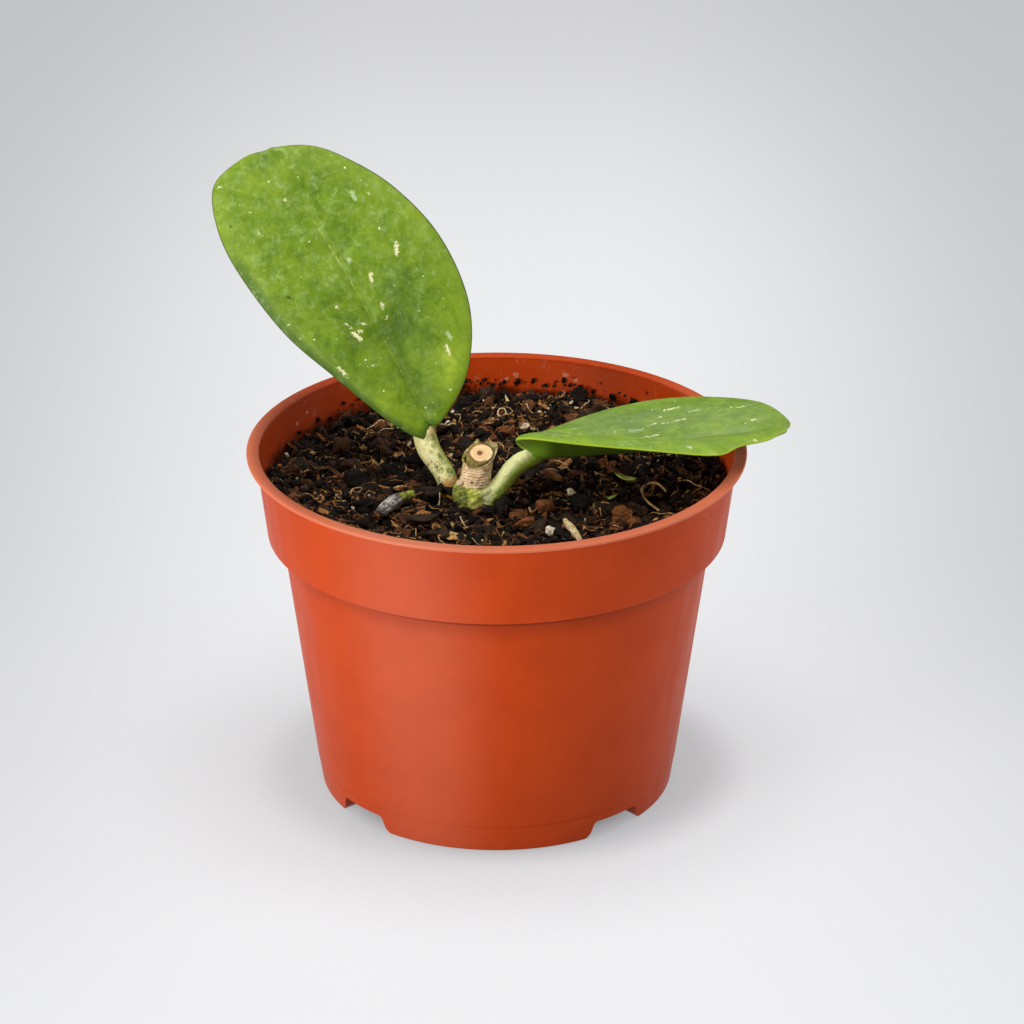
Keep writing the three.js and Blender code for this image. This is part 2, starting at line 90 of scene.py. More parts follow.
def ripple(points: Array, wavelength: float, seed: int, waves: int = 8) -> Array:
    """Smooth repeatable noise of about -1 to 1, a sum of waves that run in all directions.

    Args:
        points: Places as rows of three.
        wavelength: Typical distance from crest to crest, in the unit of the points.
        seed: Seed of the random draw.
        waves: Number of waves.

    Returns:
        One value for each place.
    """
    rng = np.random.default_rng(seed)
    way = rng.normal(size=(waves, 3))
    way /= np.linalg.norm(way, axis=1, keepdims=True)
    turns = 2 * np.pi / (wavelength * rng.uniform(0.6, 1.7, waves))
    phase = rng.uniform(0, 2 * np.pi, waves)
    return np.sin(points @ (way * turns[:, None]).T + phase).sum(1) / math.sqrt(waves)


def smoothstep(value: Array, low: float, high: float) -> Array:
    """Share from 0 at low to 1 at high, with soft ends."""
    share = np.clip((value - low) / (high - low), 0, 1)
    return share * share * (3 - 2 * share)


def spline(values: Array, shares: Array) -> Array:
    """Catmull-Rom curve through evenly spaced values.

    Args:
        values: Numbers, or rows of numbers.
        shares: Places along the curve from 0 to 1.

    Returns:
        The value or row at each share.
    """
    rows = np.asarray(values, float)
    flat = rows.ndim == 1
    if flat:
        rows = rows[:, None]
    rows = np.concatenate([2 * rows[:1] - rows[1:2], rows, 2 * rows[-1:] - rows[-2:-1]])
    last = len(rows) - 3
    slot = np.minimum((np.asarray(shares) * last).astype(int), last - 1)
    t = (np.asarray(shares) * last - slot)[:, None]
    a, b, c, d = (rows[slot + k] for k in range(4))
    curve = 0.5 * (2 * b + (c - a) * t + (2 * a - 5 * b + 4 * c - d) * t ** 2
                   + (3 * b - a - 3 * c + d) * t ** 3)
    return curve[:, 0] if flat else curve


def unit(rows: Array) -> Array:
    """Rows scaled to length one."""
    return rows / np.linalg.norm(rows, axis=-1, keepdims=True)


def fillet(corners: list[Point], steps: int = 5, reach: float = 0.004) -> Array:
    """Outline through corners, each rounded by its own radius, with long sides split up.

    Args:
        corners: Each corner's two coordinates and its rounding radius.
        steps: Points on each arc.
        reach: Longest piece of a straight side.

    Returns:
        The outline's points.
    """
    places = np.array([corner[:2] for corner in corners], float)
    outline = [places[0]]

    def straight_to(end: Array) -> None:
        """Adds the points of a straight side."""
        start = outline[-1]
        count = max(1, math.ceil(np.linalg.norm(end - start) / reach))
        outline.extend(start + (end - start) * (k + 1) / count for k in range(count))

    for before, corner, after, (_, _, radius) in zip(places, places[1:], places[2:], corners[1:-1]):
        if radius <= 0:
            straight_to(corner)
            continue
        back, ahead = unit(before - corner), unit(after - corner)
        half = 0.5 * math.acos(float(np.clip(back @ ahead, -1, 1)))
        cut = radius / math.tan(half)
        centre = corner + unit(back + ahead) * radius / math.sin(half)
        first, last = corner + back * cut - centre, corner + ahead * cut - centre
        straight_to(centre + first)
        for k in range(1, steps + 1):
            share = k / steps
            outline.append(centre + unit(first * (1 - share) + last * share) * radius)
    straight_to(places[-1])
    return np.array(outline)


# ---------------------------------------------------------------- meshes


def store(mesh: bpy.types.Mesh, label: str, rows: Array) -> None:
    """Gives the points of a mesh a named value.

    Args:
        mesh: The mesh.
        label: Name of the value.
        rows: A number or a vector for each point.
    """
    plain = rows.ndim == 1
    layer = mesh.attributes.new(label, "FLOAT" if plain else "FLOAT_VECTOR", "POINT")
    layer.data.foreach_set("value" if plain else "vector", rows.astype(np.float32).ravel())


def read(mesh: bpy.types.Mesh, what: str = "co") -> Array:
    """Reads a vector of each point of a mesh.

    Args:
        mesh: The mesh.
        what: The vector's name, by default the place.

    Returns:
        The vectors as rows.
    """
    rows = np.empty(3 * len(mesh.vertices))
    mesh.vertices.foreach_get(what, rows)
    return rows.reshape(-1, 3)


@dataclass
class Shape:
    """Points and faces on their way to a mesh, with named values for each point."""

    points: Array
    faces: list
    values: dict[str, Array] = field(default_factory=dict)

    def build(self, name: str, smooth: bool = True) -> Piece:
        """Makes the object.

        Args:
            name: Name of the piece.
            smooth: Whether its faces are shaded smooth.

        Returns:
            The new object, linked to the scene.
        """
        mesh = bpy.data.meshes.new(name)
        mesh.from_pydata(np.asarray(self.points, float).tolist(), [], self.faces)
        mesh.polygons.foreach_set("use_smooth", [smooth] * len(mesh.polygons))
        for label, rows in self.values.items():
            store(mesh, label, rows)
        mesh.update()
        piece = bpy.data.objects.new(name, mesh)
        bpy.context.scene.collection.objects.link(piece)
        return piece


def join(shapes: list[Shape]) -> Shape:
    """Puts shapes together.

    Args:
        shapes: The shapes, which carry the same named values.

    Returns:
        One shape.
    """
    faces, offset = [], 0
    for shape in shapes:
        faces.extend([[corner + offset for corner in face] for face in shape.faces])
        offset += len(shape.points)
    labels = shapes[0].values
    values = {label: np.concatenate([shape.values[label] for shape in shapes]) for label in labels}
    return Shape(np.concatenate([shape.points for shape in shapes]), faces, values)


def ringed(rings: Array, poles: tuple[Array, Array]) -> Shape:
    """Closed surface over rings of equal count, with a pole beyond each end.

    Args:
        rings: Array of rings, points and coordinates.
        poles: The points that close the first and the last ring.

    Returns:
        The shape, with its faces pointing out where the rings turn to the left round their way.
    """
    count, around = rings.shape[:2]
    points = np.concatenate([rings.reshape(-1, 3), np.array(poles)])
    corner = np.arange(around)
    after = (corner + 1) % around
    faces = []
    for k in range(count - 1):
        low, high = k * around, (k + 1) * around
        faces.extend(np.stack([low + corner, low + after, high + after, high + corner], 1).tolist())
    top = (count - 1) * around
    faces.extend(np.stack([after, corner, np.full(around, count * around)], 1).tolist())
    faces.extend(np.stack([top + corner, top + after, np.full(around, count * around + 1)], 1).tolist())
    return Shape(points, faces)


def revolve(profile: Array, segments: int) -> Shape:
    """Closed surface of revolution.

    Args:
        profile: Rows of radius and height that start and end on the axis.
        segments: Points round the axis.

    Returns:
        The shape.
    """
    angle = 2 * np.pi * np.arange(segments) / segments
    radius, height = profile[1:-1, :1], np.broadcast_to(profile[1:-1, 1:], (len(profile) - 2, segments))
    rings = np.stack([radius * np.cos(angle), radius * np.sin(angle), height], 2)
    ends = tuple(np.array([0.0, 0.0, profile[k, 1]]) for k in (0, -1))
    return ringed(rings, ends)


def tube(path: Array, radii: Array, sides: int,
         relief: Callable[[Array, Array], Array] | None = None) -> Shape:
    """Round tube with closed ends.

    Args:
        path: Points of the centre line.
        radii: Radius at each point.
        sides: Points round the tube.
        relief: Gives the change of radius from shares along and angles round.

    Returns:
        The shape with the values along, from 0 to 1, and turn, in radians.
    """
    tangent = unit(np.gradient(path, axis=0))
    normal = [unit(np.cross(tangent[0], [0.3, 1.0, 0.2]))]
    for way in tangent[1:]:
        normal.append(unit(normal[-1] - way * (normal[-1] @ way)))
    normal = np.array(normal)
    side = np.cross(tangent, normal)
    share = np.linspace(0, 1, len(path))[:, None]
    angle = 2 * np.pi * np.arange(sides)[None, :] / sides
    radius = np.broadcast_to(radii[:, None], (len(path), sides)).copy()
    if relief is not None:
        radius += relief(share + 0 * angle, angle + 0 * share)
    rings = (path[:, None] + normal[:, None] * (radius * np.cos(angle))[..., None]
             + side[:, None] * (radius * np.sin(angle))[..., None])
    shape = ringed(rings, (rings[0].mean(0), rings[-1].mean(0)))
    shape.values["along"] = np.append(np.repeat(share[:, 0], sides), [0.0, 1.0])
    shape.values["turn"] = np.append(np.tile(angle[0], len(path)), [0.0, 0.0])
    return shape


def settle(piece: Piece) -> None:
    """Applies a piece's modifiers to its mesh.

    Args:
        piece: The piece.
    """
    bpy.context.view_layer.update()
    result = piece.evaluated_get(bpy.context.evaluated_depsgraph_get())
    mesh = bpy.data.meshes.new_from_object(result)
    piece.modifiers.clear()
    piece.data = mesh


class Keep(Enum):
    """Which part of a body a cut keeps."""

    OUTSIDE = "DIFFERENCE"
    INSIDE = "INTERSECT"


def carve(body: Piece, cutter: Piece, keep: Keep = Keep.OUTSIDE) -> None:
    """Cuts a body and removes the cutter.

    Args:
        body: What is cut.
        cutter: The closed form that cuts it.
        keep: The part that stays.
    """
    modifier = body.modifiers.new("carve", "BOOLEAN")
    modifier.operation = keep.value
    modifier.solver = "MANIFOLD"
    modifier.object = cutter
    settle(body)
    bpy.data.objects.remove(cutter)


def seat(piece: Piece, material: bpy.types.Material, slot: str, *nodes: str) -> Piece:
    """Dresses a finished piece and enters it in the frame.

    Args:
        piece: The piece.
        material: Its finish.
        slot: The record's material slot; not used.
        nodes: The solids that it stands for.

    Returns:
        The piece.
    """
    piece.data.materials.clear()
    piece.data.materials.append(material)
    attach(piece, "root")
    if nodes:
        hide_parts(*nodes)
    return piece


# ---------------------------------------------------------------- finishes


class Graph:
    """Short calls that build one material's node tree. Sizes are in the unit of the vector they sample."""

    def __init__(self, name: str) -> None:
        """Starts a material with one principled shader.

        Args:
            name: Name of the material.
        """
        self.material = bpy.data.materials.new(name)
        self.material.use_nodes = True
        self.tree = self.material.node_tree
        self.tree.nodes.clear()
        output = self.add("ShaderNodeOutputMaterial")
        self.shader = self.add("ShaderNodeBsdfPrincipled")
        self.tree.links.new(self.shader.outputs[0], output.inputs[0])

    def add(self, kind: str, feeds: dict | None = None, **settings: object) -> bpy.types.Node:
        """Adds a node.

        Args:
            kind: Its type.
            feeds: A socket or an even value for each of its inputs, by name or number.
            settings: Its properties.

        Returns:
            The node.
        """
        node = self.tree.nodes.new(kind)
        for key, value in settings.items():
            setattr(node, key, value)
        for key, value in (feeds or {}).items():
            self.put(node.inputs[key], value)
        return node

    def put(self, place: Socket, value: object) -> None:
        """Feeds an input.

        Args:
            place: The input.
            value: A socket to link to it, or its own even value.
        """
        if isinstance(value, bpy.types.NodeSocket):
            self.tree.links.new(value, place)
        else:
            place.default_value = value

    def place(self) -> Socket:
        """Position on the object in metres."""
        return self.add("ShaderNodeTexCoord").outputs["Object"]

    def value(self, name: str, rows: bool = False) -> Socket:
        """A named value of the mesh, or with rows a named vector."""
        return self.add("ShaderNodeAttribute", attribute_name=name).outputs["Vector" if rows else "Fac"]

    def part(self, at: Socket, axis: int) -> Socket:
        """One part of a vector."""
        return self.add("ShaderNodeSeparateXYZ", {0: at}).outputs[axis]

    def stretch(self, at: Socket, factors: Point) -> Socket:
        """A vector with each part multiplied by its factor."""
        return self.add("ShaderNodeVectorMath", {0: at, 1: factors}, operation="MULTIPLY").outputs[0]

    def away(self, at: Socket, spot: Point) -> Socket:
        """Distance from a spot."""
        return self.add("ShaderNodeVectorMath", {0: at, 1: spot}, operation="DISTANCE").outputs["Value"]

    def noise(self, at: Socket, size: float, detail: float = 3, rough: float = 0.55,
              twist: float = 0) -> Socket:
        """Cloudy noise."""
        feeds = {"Vector": at, "Scale": 1 / size, "Detail": detail, "Roughness": rough, "Distortion": twist}
        return self.add("ShaderNodeTexNoise", feeds).outputs["Fac"]

    def cells(self, at: Socket, size: float, feature: str = "F1") -> tuple[Socket, Socket]:
        """Scattered cells.

        Args:
            at: Where they are sampled.
            size: Size of a cell.
            feature: Kind of distance.

        Returns:
            The distance from a cell's middle in cells, and a random value for each cell.
        """
        node = self.add("ShaderNodeTexVoronoi", {"Vector": at, "Scale": 1 / size}, feature=feature)
        parts = self.add("ShaderNodeSeparateColor", {0: node.outputs["Color"]})
        return node.outputs["Distance"], parts.outputs[0]

    def math(self, operation: str, first: object, second: object = 0.0) -> Socket:
        """One sum on two values."""
        return self.add("ShaderNodeMath", {0: first, 1: second}, operation=operation).outputs[0]

    def centred(self, value: Socket) -> Socket:
        """A value from 0 to 1, brought to lie round zero."""
        return self.math("SUBTRACT", value, 0.5)

    def blend(self, *terms: tuple[Socket, float]) -> Socket:
        """Sum of weighted values.

        Args:
            terms: Each value and its weight.

        Returns:
            The sum.
        """
        total = None
        for value, weight in terms:
            part = self.math("MULTIPLY", value, weight)
            total = part if total is None else self.math("ADD", total, part)
        return total

    def product(self, *values: object) -> Socket:
        """Product of values.

        Args:
            values: Sockets and numbers, a socket first.

        Returns:
            The product.
        """
        total = values[0]
        for value in values[1:]:
            total = self.math("MULTIPLY", total, value)
        return total

    def fade(self, value: Socket, low: float, high: float, start: float = 0.0, end: float = 1.0) -> Socket:
        """Softly maps one range to another and holds its ends.

        Args:
            value: The value.
            low: Where the range starts.
            high: Where it ends.
            start: Result at low.
            end: Result at high.

        Returns:
            The mapped value.
        """
        names = ("Value", "From Min", "From Max", "To Min", "To Max")
        feeds = dict(zip(names, (value, low, high, start, end)))
        return self.add("ShaderNodeMapRange", feeds, interpolation_type="SMOOTHSTEP").outputs[0]

    def fall(self, value: Socket, low: float, high: float, start: float = 1.0) -> Socket:
        """Softly falls from start at low to zero at high."""
        return self.fade(value, low, high, start, 0.0)

    def mix(self, share: object, first: object, second: object) -> Socket:
        """Colour between two by a share."""
        return self.add("ShaderNodeMix", {0: share, 6: first, 7: second}, data_type="RGBA").outputs[2]

    def ramp(self, share: Socket, stops: list[tuple[float, Colour]]) -> Socket:
        """Colour that changes with a value.

        Args:
            share: The value.
            stops: Values and the colour at each.

        Returns:
            The colour.
        """
        node = self.add("ShaderNodeValToRGB", {0: share})
        elements = node.color_ramp.elements
        while len(elements) < len(stops):
            elements.new(0.5)
        for element, (position, colour) in zip(elements, stops):
            element.position = position
            element.color = colour
        return node.outputs[0]

    def bump(self, height: Socket, depth: float, under: Socket | None = None) -> Socket:
        """Relief.

        Args:
            height: Height from 0 to 1.
            depth: Its depth in metres.
            under: Normal of a coarser relief that it lies on.

        Returns:
            The normal.
        """
        node = self.add("ShaderNodeBump", {"Height": height, "Distance": depth})
        if under is not None:
            self.put(node.inputs["Normal"], under)
        return node.outputs[0]

    def finish(self, colour: object, roughness: object, normal: Socket | None = None,
               **flat: float) -> bpy.types.Material:
        """Feeds the shader.

        Args:
            colour: Base colour.
            roughness: Roughness.
            normal: Normal from a bump.
            flat: Further sockets by name, with underscores for spaces, and their even values.

        Returns:
            The material.
        """
        self.put(self.shader.inputs["Base Color"], colour)
        self.put(self.shader.inputs["Roughness"], roughness)
        if normal is not None:
            self.put(self.shader.inputs["Normal"], normal)
        for key, value in flat.items():
            self.shader.inputs[key.replace("_", " ")].default_value = value
        return self.material


@dataclass(frozen=True)
class TerracottaPlastic:
    """Satin moulded plastic in terracotta orange, with mineral stains on the inner wall."""

    colour: Colour = srgb(189, 66, 16)
    deep: Colour = srgb(181, 61, 14)
    highlight_tint: Colour = srgb(255, 222, 206)
    wear_and_sheen: Colour = srgb(255, 196, 158)
    foot_shade: Colour = srgb(110, 34, 8)
    side_shade: Colour = srgb(110, 40, 18)
    collar_shade: Colour = srgb(96, 28, 10)
    stain: Colour = srgb(226, 176, 150)
    dirt: Colour = srgb(86, 36, 16)
    speck: Colour = srgb(70, 28, 16)
    highlight_middle: Pair = (-20.3, -47.9)  # middle of the painted highlight on the left front, in millimetres
    stains: tuple[Bead, ...] = (
        (2.1, 56.5, 80.9, 1.9), (4.8, 56.3, 81.9, 1.6), (17.1, 53.9, 82.9, 1.7), (19.8, 53.0, 81.9, 1.4),
        (13.0, 55.0, 84.2, 1.0), (32.0, 46.6, 80.6, 1.0), (-49.2, 27.9, 81.0, 1.3), (-46.8, 31.9, 82.4, 0.9),
    )  # place on the wall and reach, in millimetres
    specks: tuple[Point, ...] = (
        (50.5, -26.7, 80.9), (-54.9, -14.3, 77.4), (26.1, 50.2, 82.5), (37.3, 42.5, 83.0),
    )

    def build(self) -> bpy.types.Material:
        """Makes the material.

        Returns:
            The material.
        """
        g = Graph("terracotta_plastic")
        at = g.place()
        height = g.part(at, 2)
        inside = g.value("inside")
        grain = g.noise(at, 0.0006, 3, 0.6)
        colour = g.mix(g.fade(g.noise(at, 0.012, 5, 0.65), 0.3, 0.75), self.colour, self.deep)
        smear = g.noise(at, 0.0022, 5, 0.7, 0.6)
        scrap = g.noise(at, 0.0008, 4, 0.7)
        # painted highlight on the left front of the wall, and painted sheen on the top of the rim
        highlight_distance = g.away(g.stretch(at, (1, 1, 0)), metres(*self.highlight_middle, 0))
        colour = g.mix(g.fall(highlight_distance, 0.004, 0.024, 0.05), colour, self.highlight_tint)
        # painted sheen on the top of the rim, strongest at the front
        wear_and_sheen = g.product(g.fade(height, 0.0859, 0.0863), g.fall(g.part(at, 1), 0.005, 0.05, 0.2))
        colour = g.mix(wear_and_sheen, colour, self.wear_and_sheen)
        colour = g.mix(g.fall(height, 0.0, 0.065, 0.26), colour, self.foot_shade)
        # painted shade on the left side of the inner wall, then soil splashed on the inner wall
        shade = g.product(inside, g.fall(g.part(at, 0), -0.052, -0.03, 0.5))
        colour = g.mix(shade, colour, self.side_shade)
        splash = g.fall(g.blend((height, 1.0), (smear, 0.006)), 0.0808, 0.0828, 0.75)
        colour = g.mix(g.product(inside, splash), colour, self.dirt)
        for x, y, z, reach in self.stains:
            edge = g.blend((g.away(at, metres(x, y, z)), 1.0), (smear, 3.4 * reach * MM),
                           (scrap, 1.4 * reach * MM))
            crust = g.product(g.fall(edge, 2.3 * reach * MM, 2.9 * reach * MM, 0.85),
                              g.fade(scrap, 0.4, 0.6, 0.35, 1.0))
            colour = g.mix(crust, colour, self.stain)
        film = g.product(g.fade(smear, 0.56, 0.75), inside, 0.16)
        colour = g.mix(film, colour, self.stain)
        distance, pick = g.cells(at, 0.0042)
        pale = g.product(g.fall(distance, 0.03, 0.07, 0.8), g.fade(pick, 0.7, 0.72), inside)
        colour = g.mix(pale, colour, self.stain)
        for spot in self.specks:
            edge = g.blend((g.away(at, metres(*spot)), 1.0), (scrap, 0.0006))
            colour = g.mix(g.fall(edge, 0.0006, 0.0009, 0.8), colour, self.speck)
        # shade that gathers under the collar's lower edge
        corner = g.blend((g.fade(height, 0.0585, 0.0646, 0.0, 0.34), 1.0),
                         (g.fade(height, 0.0635, 0.0643, 0.0, 0.5), 1.0))
        outside = g.fall(inside, 0.0, 0.5)
        below_edge = g.fall(height, 0.06595, 0.066)
        colour = g.mix(g.product(corner, below_edge, outside), colour, self.collar_shade)
        scuff = g.noise(g.stretch(at, (1, 1, 0.16)), 0.004, 4, 0.6)
        roughness = g.fade(scuff, 0.3, 0.7, 0.36, 0.46)
        return g.finish(colour, roughness, g.bump(grain, 0.00002), Specular_IOR_Level=0.09)


@dataclass(frozen=True)
class PottingGrain:
    """Bark, coir and perlite. The value tint picks the colour, and grain lies along each chip."""

    name: str = "potting_grain"
    shades: tuple[tuple[float, Colour], ...] = (
        (0.0, srgb(11, 8, 5)), (0.3, srgb(30, 23, 17)), (0.5, srgb(58, 43, 31)), (0.66, srgb(90, 58, 36)),
        (0.79, srgb(146, 88, 44)), (0.87, srgb(210, 150, 84)), (0.93, srgb(234, 196, 130)),
        (1.0, srgb(248, 238, 214)),
    )
    pit_shade: Colour = srgb(10, 7, 4)
    glint: Colour = srgb(206, 190, 160)

    def build(self) -> bpy.types.Material:
        """Makes the material.

        Returns:
            The material.
        """
        g = Graph(self.name)
        grain = g.value("grain", rows=True)
        fibre = g.noise(g.stretch(grain, (0.2, 1, 1)), 0.36, 4, 0.65, 0.3)
        crumb = g.noise(grain, 0.5, 4, 0.7)
        tint = g.blend((g.value("tint"), 1.0), (g.centred(fibre), 0.34))
        colour = g.ramp(tint, list(self.shades))
        # painted shade: darker in the pits, where the relief is low
        outside_pit_shade = g.fade(crumb, 0.36, 0.52)
        colour = g.mix(outside_pit_shade, g.mix(0.75, colour, self.pit_shade), colour)
        distance, pick = g.cells(grain, 0.8)
        glint = g.product(g.fall(distance, 0.08, 0.16, 0.75), g.fade(pick, 0.84, 0.86))
        colour = g.mix(glint, colour, self.glint)
        height = g.blend((fibre, 0.6), (crumb, 0.6))
        roughness = g.fade(crumb, 0.3, 0.75, 0.85, 0.6)
        return g.finish(colour, roughness, g.bump(height, 0.0005), Specular_IOR_Level=0.14)


@dataclass(frozen=True)
class LeafSkin:
    """Waxy skin of a blade: clouded green, cream flecks, white dots, a thin midrib and a dark margin."""

    name: str
    light: Colour
    middle: Colour
    dark: Colour
    margin: Colour
    deep: Colour = srgb(50, 78, 5)
    bright: Colour = srgb(160, 184, 40)
    underside_and_shade: Colour = srgb(100, 134, 44)
    milk: Colour = srgb(170, 194, 128)
    sheen: Colour = srgb(176, 188, 146)
    midrib: Colour = srgb(202, 200, 84)
    dot: Colour = srgb(222, 232, 190)
    scar: Colour = srgb(196, 214, 168)
    spot: Colour = srgb(40, 54, 14)
    haze: float = 0.45
    roughness: float = 0.42
    edge: float = 0.3
    streaks: float = 0.0
    rolled_margin_shade: float = 0.0  # strength of the painted shade on the margin that rolls under on the left half

    def build(self) -> bpy.types.Material:
        """Makes the material.

        Returns:
            The material.
        """
        g = Graph(self.name)
        at = g.value("sheet", rows=True)
        station = g.part(at, 0)
        patch = g.noise(at, 6.0, 4, 0.6, 0.6)
        cloud = g.noise(at, 2.4, 4, 0.65, 0.9)
        fine = g.noise(at, 0.9, 4, 0.65)
        rim = g.value("edge")
        shade = g.blend((patch, 0.45), (cloud, 0.35), (fine, 0.2), (g.value("zone"), 0.1))
        colour = g.ramp(shade, [(0.18, self.deep), (0.36, self.dark), (0.5, self.middle), (0.66, self.light),
                                (0.84, self.bright)])
        colour = g.mix(g.fade(rim, 0.6, 1.0, 0.0, self.edge), colour, self.light)
        # painted shade on the margin that rolls under on the left half, turned away from the light
        left_half = g.fade(g.part(at, 1), -1.0, -4.0)
        rolled_margin_shade = g.product(g.fade(rim, 0.84, 0.95), left_half, g.fall(station, 55, 62), self.rolled_margin_shade)
        colour = g.mix(rolled_margin_shade, colour, srgb(58, 90, 8))
        # milky rings and smudges under the skin, most of them in the upper half
        upper = g.fade(station, 14, 52, 0.45, 1.0)
        ring, pick = g.cells(g.stretch(at, (1, 0.8, 1)), 3.4, "SMOOTH_F1")
        wavy = g.blend((ring, 1.0), (cloud, 0.35), (fine, 0.15))
        band = g.product(g.fade(wavy, 0.46, 0.53), g.fall(wavy, 0.55, 0.64), g.fade(pick, 0.5, 0.9), 0.12)
        blur = g.blend((g.fade(g.noise(at, 1.7, 5, 0.64, 0.4), 0.5, 0.72), 0.7),
                       (g.fade(g.noise(at, 3.6, 5, 0.7, 0.3), 0.5, 0.66), 0.3))
        colour = g.mix(g.product(g.math("MAXIMUM", band, blur), upper, self.haze), colour, self.milk)
        if self.streaks:
            streak = g.noise(g.stretch(at, (0.12, 1, 1)), 0.55, 4, 0.75, 0.3)
            thin = g.product(g.fade(streak, 0.56, 0.7), g.fade(g.noise(at, 5.0, 3), 0.4, 0.58), self.streaks)
            colour = g.mix(thin, colour, srgb(214, 224, 188))
        # painted sheen laid over the green where the zones put it
        veil = g.product(g.value("veil"), g.fade(cloud, 0.3, 0.7, 0.75, 1.0))
        colour = g.mix(veil, colour, self.sheen)
        # midrib
        across = g.math("ABSOLUTE", g.part(at, 1))
        rib = g.fall(g.blend((across, 1.0), (g.noise(at, 1.1, 4), 0.8)), 0.36, 0.62)
        broken = g.fade(g.noise(g.stretch(at, (1, 0.2, 0)), 1.7, 4, 0.8), 0.42, 0.58, 0.12, 0.9)
        colour = g.mix(g.product(rib, broken, g.value("ribbed")), colour, self.midrib)
        # white dots, cream flecks and dark spots
        for cell, least, low, high, pale in ((2.1, 0.55, 0.03, 0.12, 0.85), (1.15, 0.7, 0.05, 0.12, 0.5)):
            distance, size = g.cells(at, cell)
            edge = g.blend((distance, 1.0), (g.fade(size, least, 1.0, low, high), -1.0), (fine, 0.16))
            dot = g.product(g.fall(edge, 0.06, 0.09, pale), g.math("GREATER_THAN", size, least))
            colour = g.mix(dot, colour, self.dot)
        jag = g.blend((g.centred(g.noise(at, 0.9, 4, 0.75, 0.8)), 2.4),
                      (g.centred(g.noise(at, 0.35, 3, 0.7)), 1.1))
        fleck = g.fall(g.math("ADD", g.value("fleck"), jag), -0.22, -0.08)
        cream = g.ramp(fine, [(0.34, srgb(196, 198, 124)), (0.58, srgb(240, 234, 196))])
        colour = g.mix(fleck, colour, cream)
        faint = g.fall(g.math("ADD", g.value("smudge"), jag), -0.2, 0.3, 0.55)
        colour = g.mix(faint, colour, self.scar)
        dark = g.fall(g.math("ADD", g.value("spot"), jag), -0.1, 0.1, 0.85)
        colour = g.mix(dark, colour, self.spot)
        # margin and underside, whose colour is made dark as painted shade on the right blade
        colour = g.mix(g.fade(rim, 0.98, 0.998, 0.0, 0.9), colour, self.margin)
        under = g.fall(g.value("side"), -0.4, 0.1)
        below = g.ramp(rim, [(0.0, srgb(84, 116, 16)), (0.25, self.underside_and_shade), (0.8, self.underside_and_shade),
                             (0.94, srgb(76, 108, 10)), (1.0, srgb(150, 180, 30))])
        below = g.mix(g.fall(station, 1, 6, 0.8), below, srgb(104, 142, 30))
        colour = g.mix(g.product(under, 0.9), colour, below)
        roughness = g.math("ADD", g.fade(g.blend((patch, 1.0), (fine, 0.5)), 0.5, 1.0, -0.06, 0.12),
                           g.fade(rim, 0.75, 1.0, self.roughness, self.roughness + 0.25))
        normal = g.bump(g.noise(at, 0.35, 2), 0.00002, g.bump(g.blend((fine, 0.4), (cloud, 0.6)), 0.00012))
        return g.finish(colour, roughness, normal, Specular_IOR_Level=0.32,
                        Subsurface_Weight=0.08, Subsurface_Scale=0.0015)


@dataclass(frozen=True)
class StalkSkin:
    """Smooth skin of a petiole with painted light and shade, pale on its lit side and green on its shaded
    side, greener and dirtier towards the soil.
    """

    name: str
    pale: Colour
    green: Colour
    base: Colour
    algae: float = 0.5
    foot: float = 0.18  # share of the length up to which the base colour reaches
    scar: float = 0.0
    grime: Colour = srgb(52, 62, 14)
    tick: Colour = srgb(60, 56, 20)
    fleck: Colour = srgb(238, 238, 214)
    callus: Colour = srgb(206, 170, 116)

    def build(self) -> bpy.types.Material:
        """Makes the material.

        Returns:
            The material.
        """
        g = Graph(self.name)
        at = g.place()
        along = g.value("along")
        cloud = g.noise(at, 0.0016, 4, 0.65, 0.4)
        streak = g.noise(g.stretch(at, (1, 1, 0.35)), 0.0007, 4, 0.65)
        # painted light and shade: pale where the skin faces the light, green where it faces away
        turned_away = g.blend((g.value("shade"), 1.0), (g.centred(cloud), 0.6))
        colour = g.mix(g.fade(turned_away, 0.25, 0.7), self.pale, self.green)
        foot = g.fall(g.blend((along, 1.0), (g.centred(cloud), 0.25)), self.foot, self.foot + 0.1)
        colour = g.mix(foot, colour, self.base)
        fine = g.noise(at, 0.0007, 5, 0.75, 0.5)
        stain = g.product(g.fade(g.blend((fine, 0.6), (cloud, 0.4)), 0.5, 0.58), g.value("algae"), self.algae)
        colour = g.mix(stain, colour, self.grime)
        distance, pick = g.cells(g.stretch(at, (1, 1, 0.5)), 0.0011)
        tick = g.product(g.fall(distance, 0.07, 0.13, 0.6), g.fall(pick, 0.2, 0.22), g.value("algae"))
        colour = g.mix(tick, colour, self.tick)
        fleck = g.product(g.fall(distance, 0.1, 0.22, 0.75), g.fade(pick, 0.78, 0.8))
        colour = g.mix(fleck, colour, self.fleck)
        scar = g.fade(along, 0.86, 0.97, 0.0, self.scar)
        colour = g.mix(g.product(scar, g.fade(fine, 0.4, 0.6, 0.4, 1.0)), colour, self.callus)
        height = g.blend((streak, 0.5), (cloud, 0.5))
        return g.finish(colour, g.fade(cloud, 0.3, 0.7, 0.42, 0.58), g.bump(height, 0.0002),
                        Specular_IOR_Level=0.35, Subsurface_Weight=0.1, Subsurface_Scale=0.001)


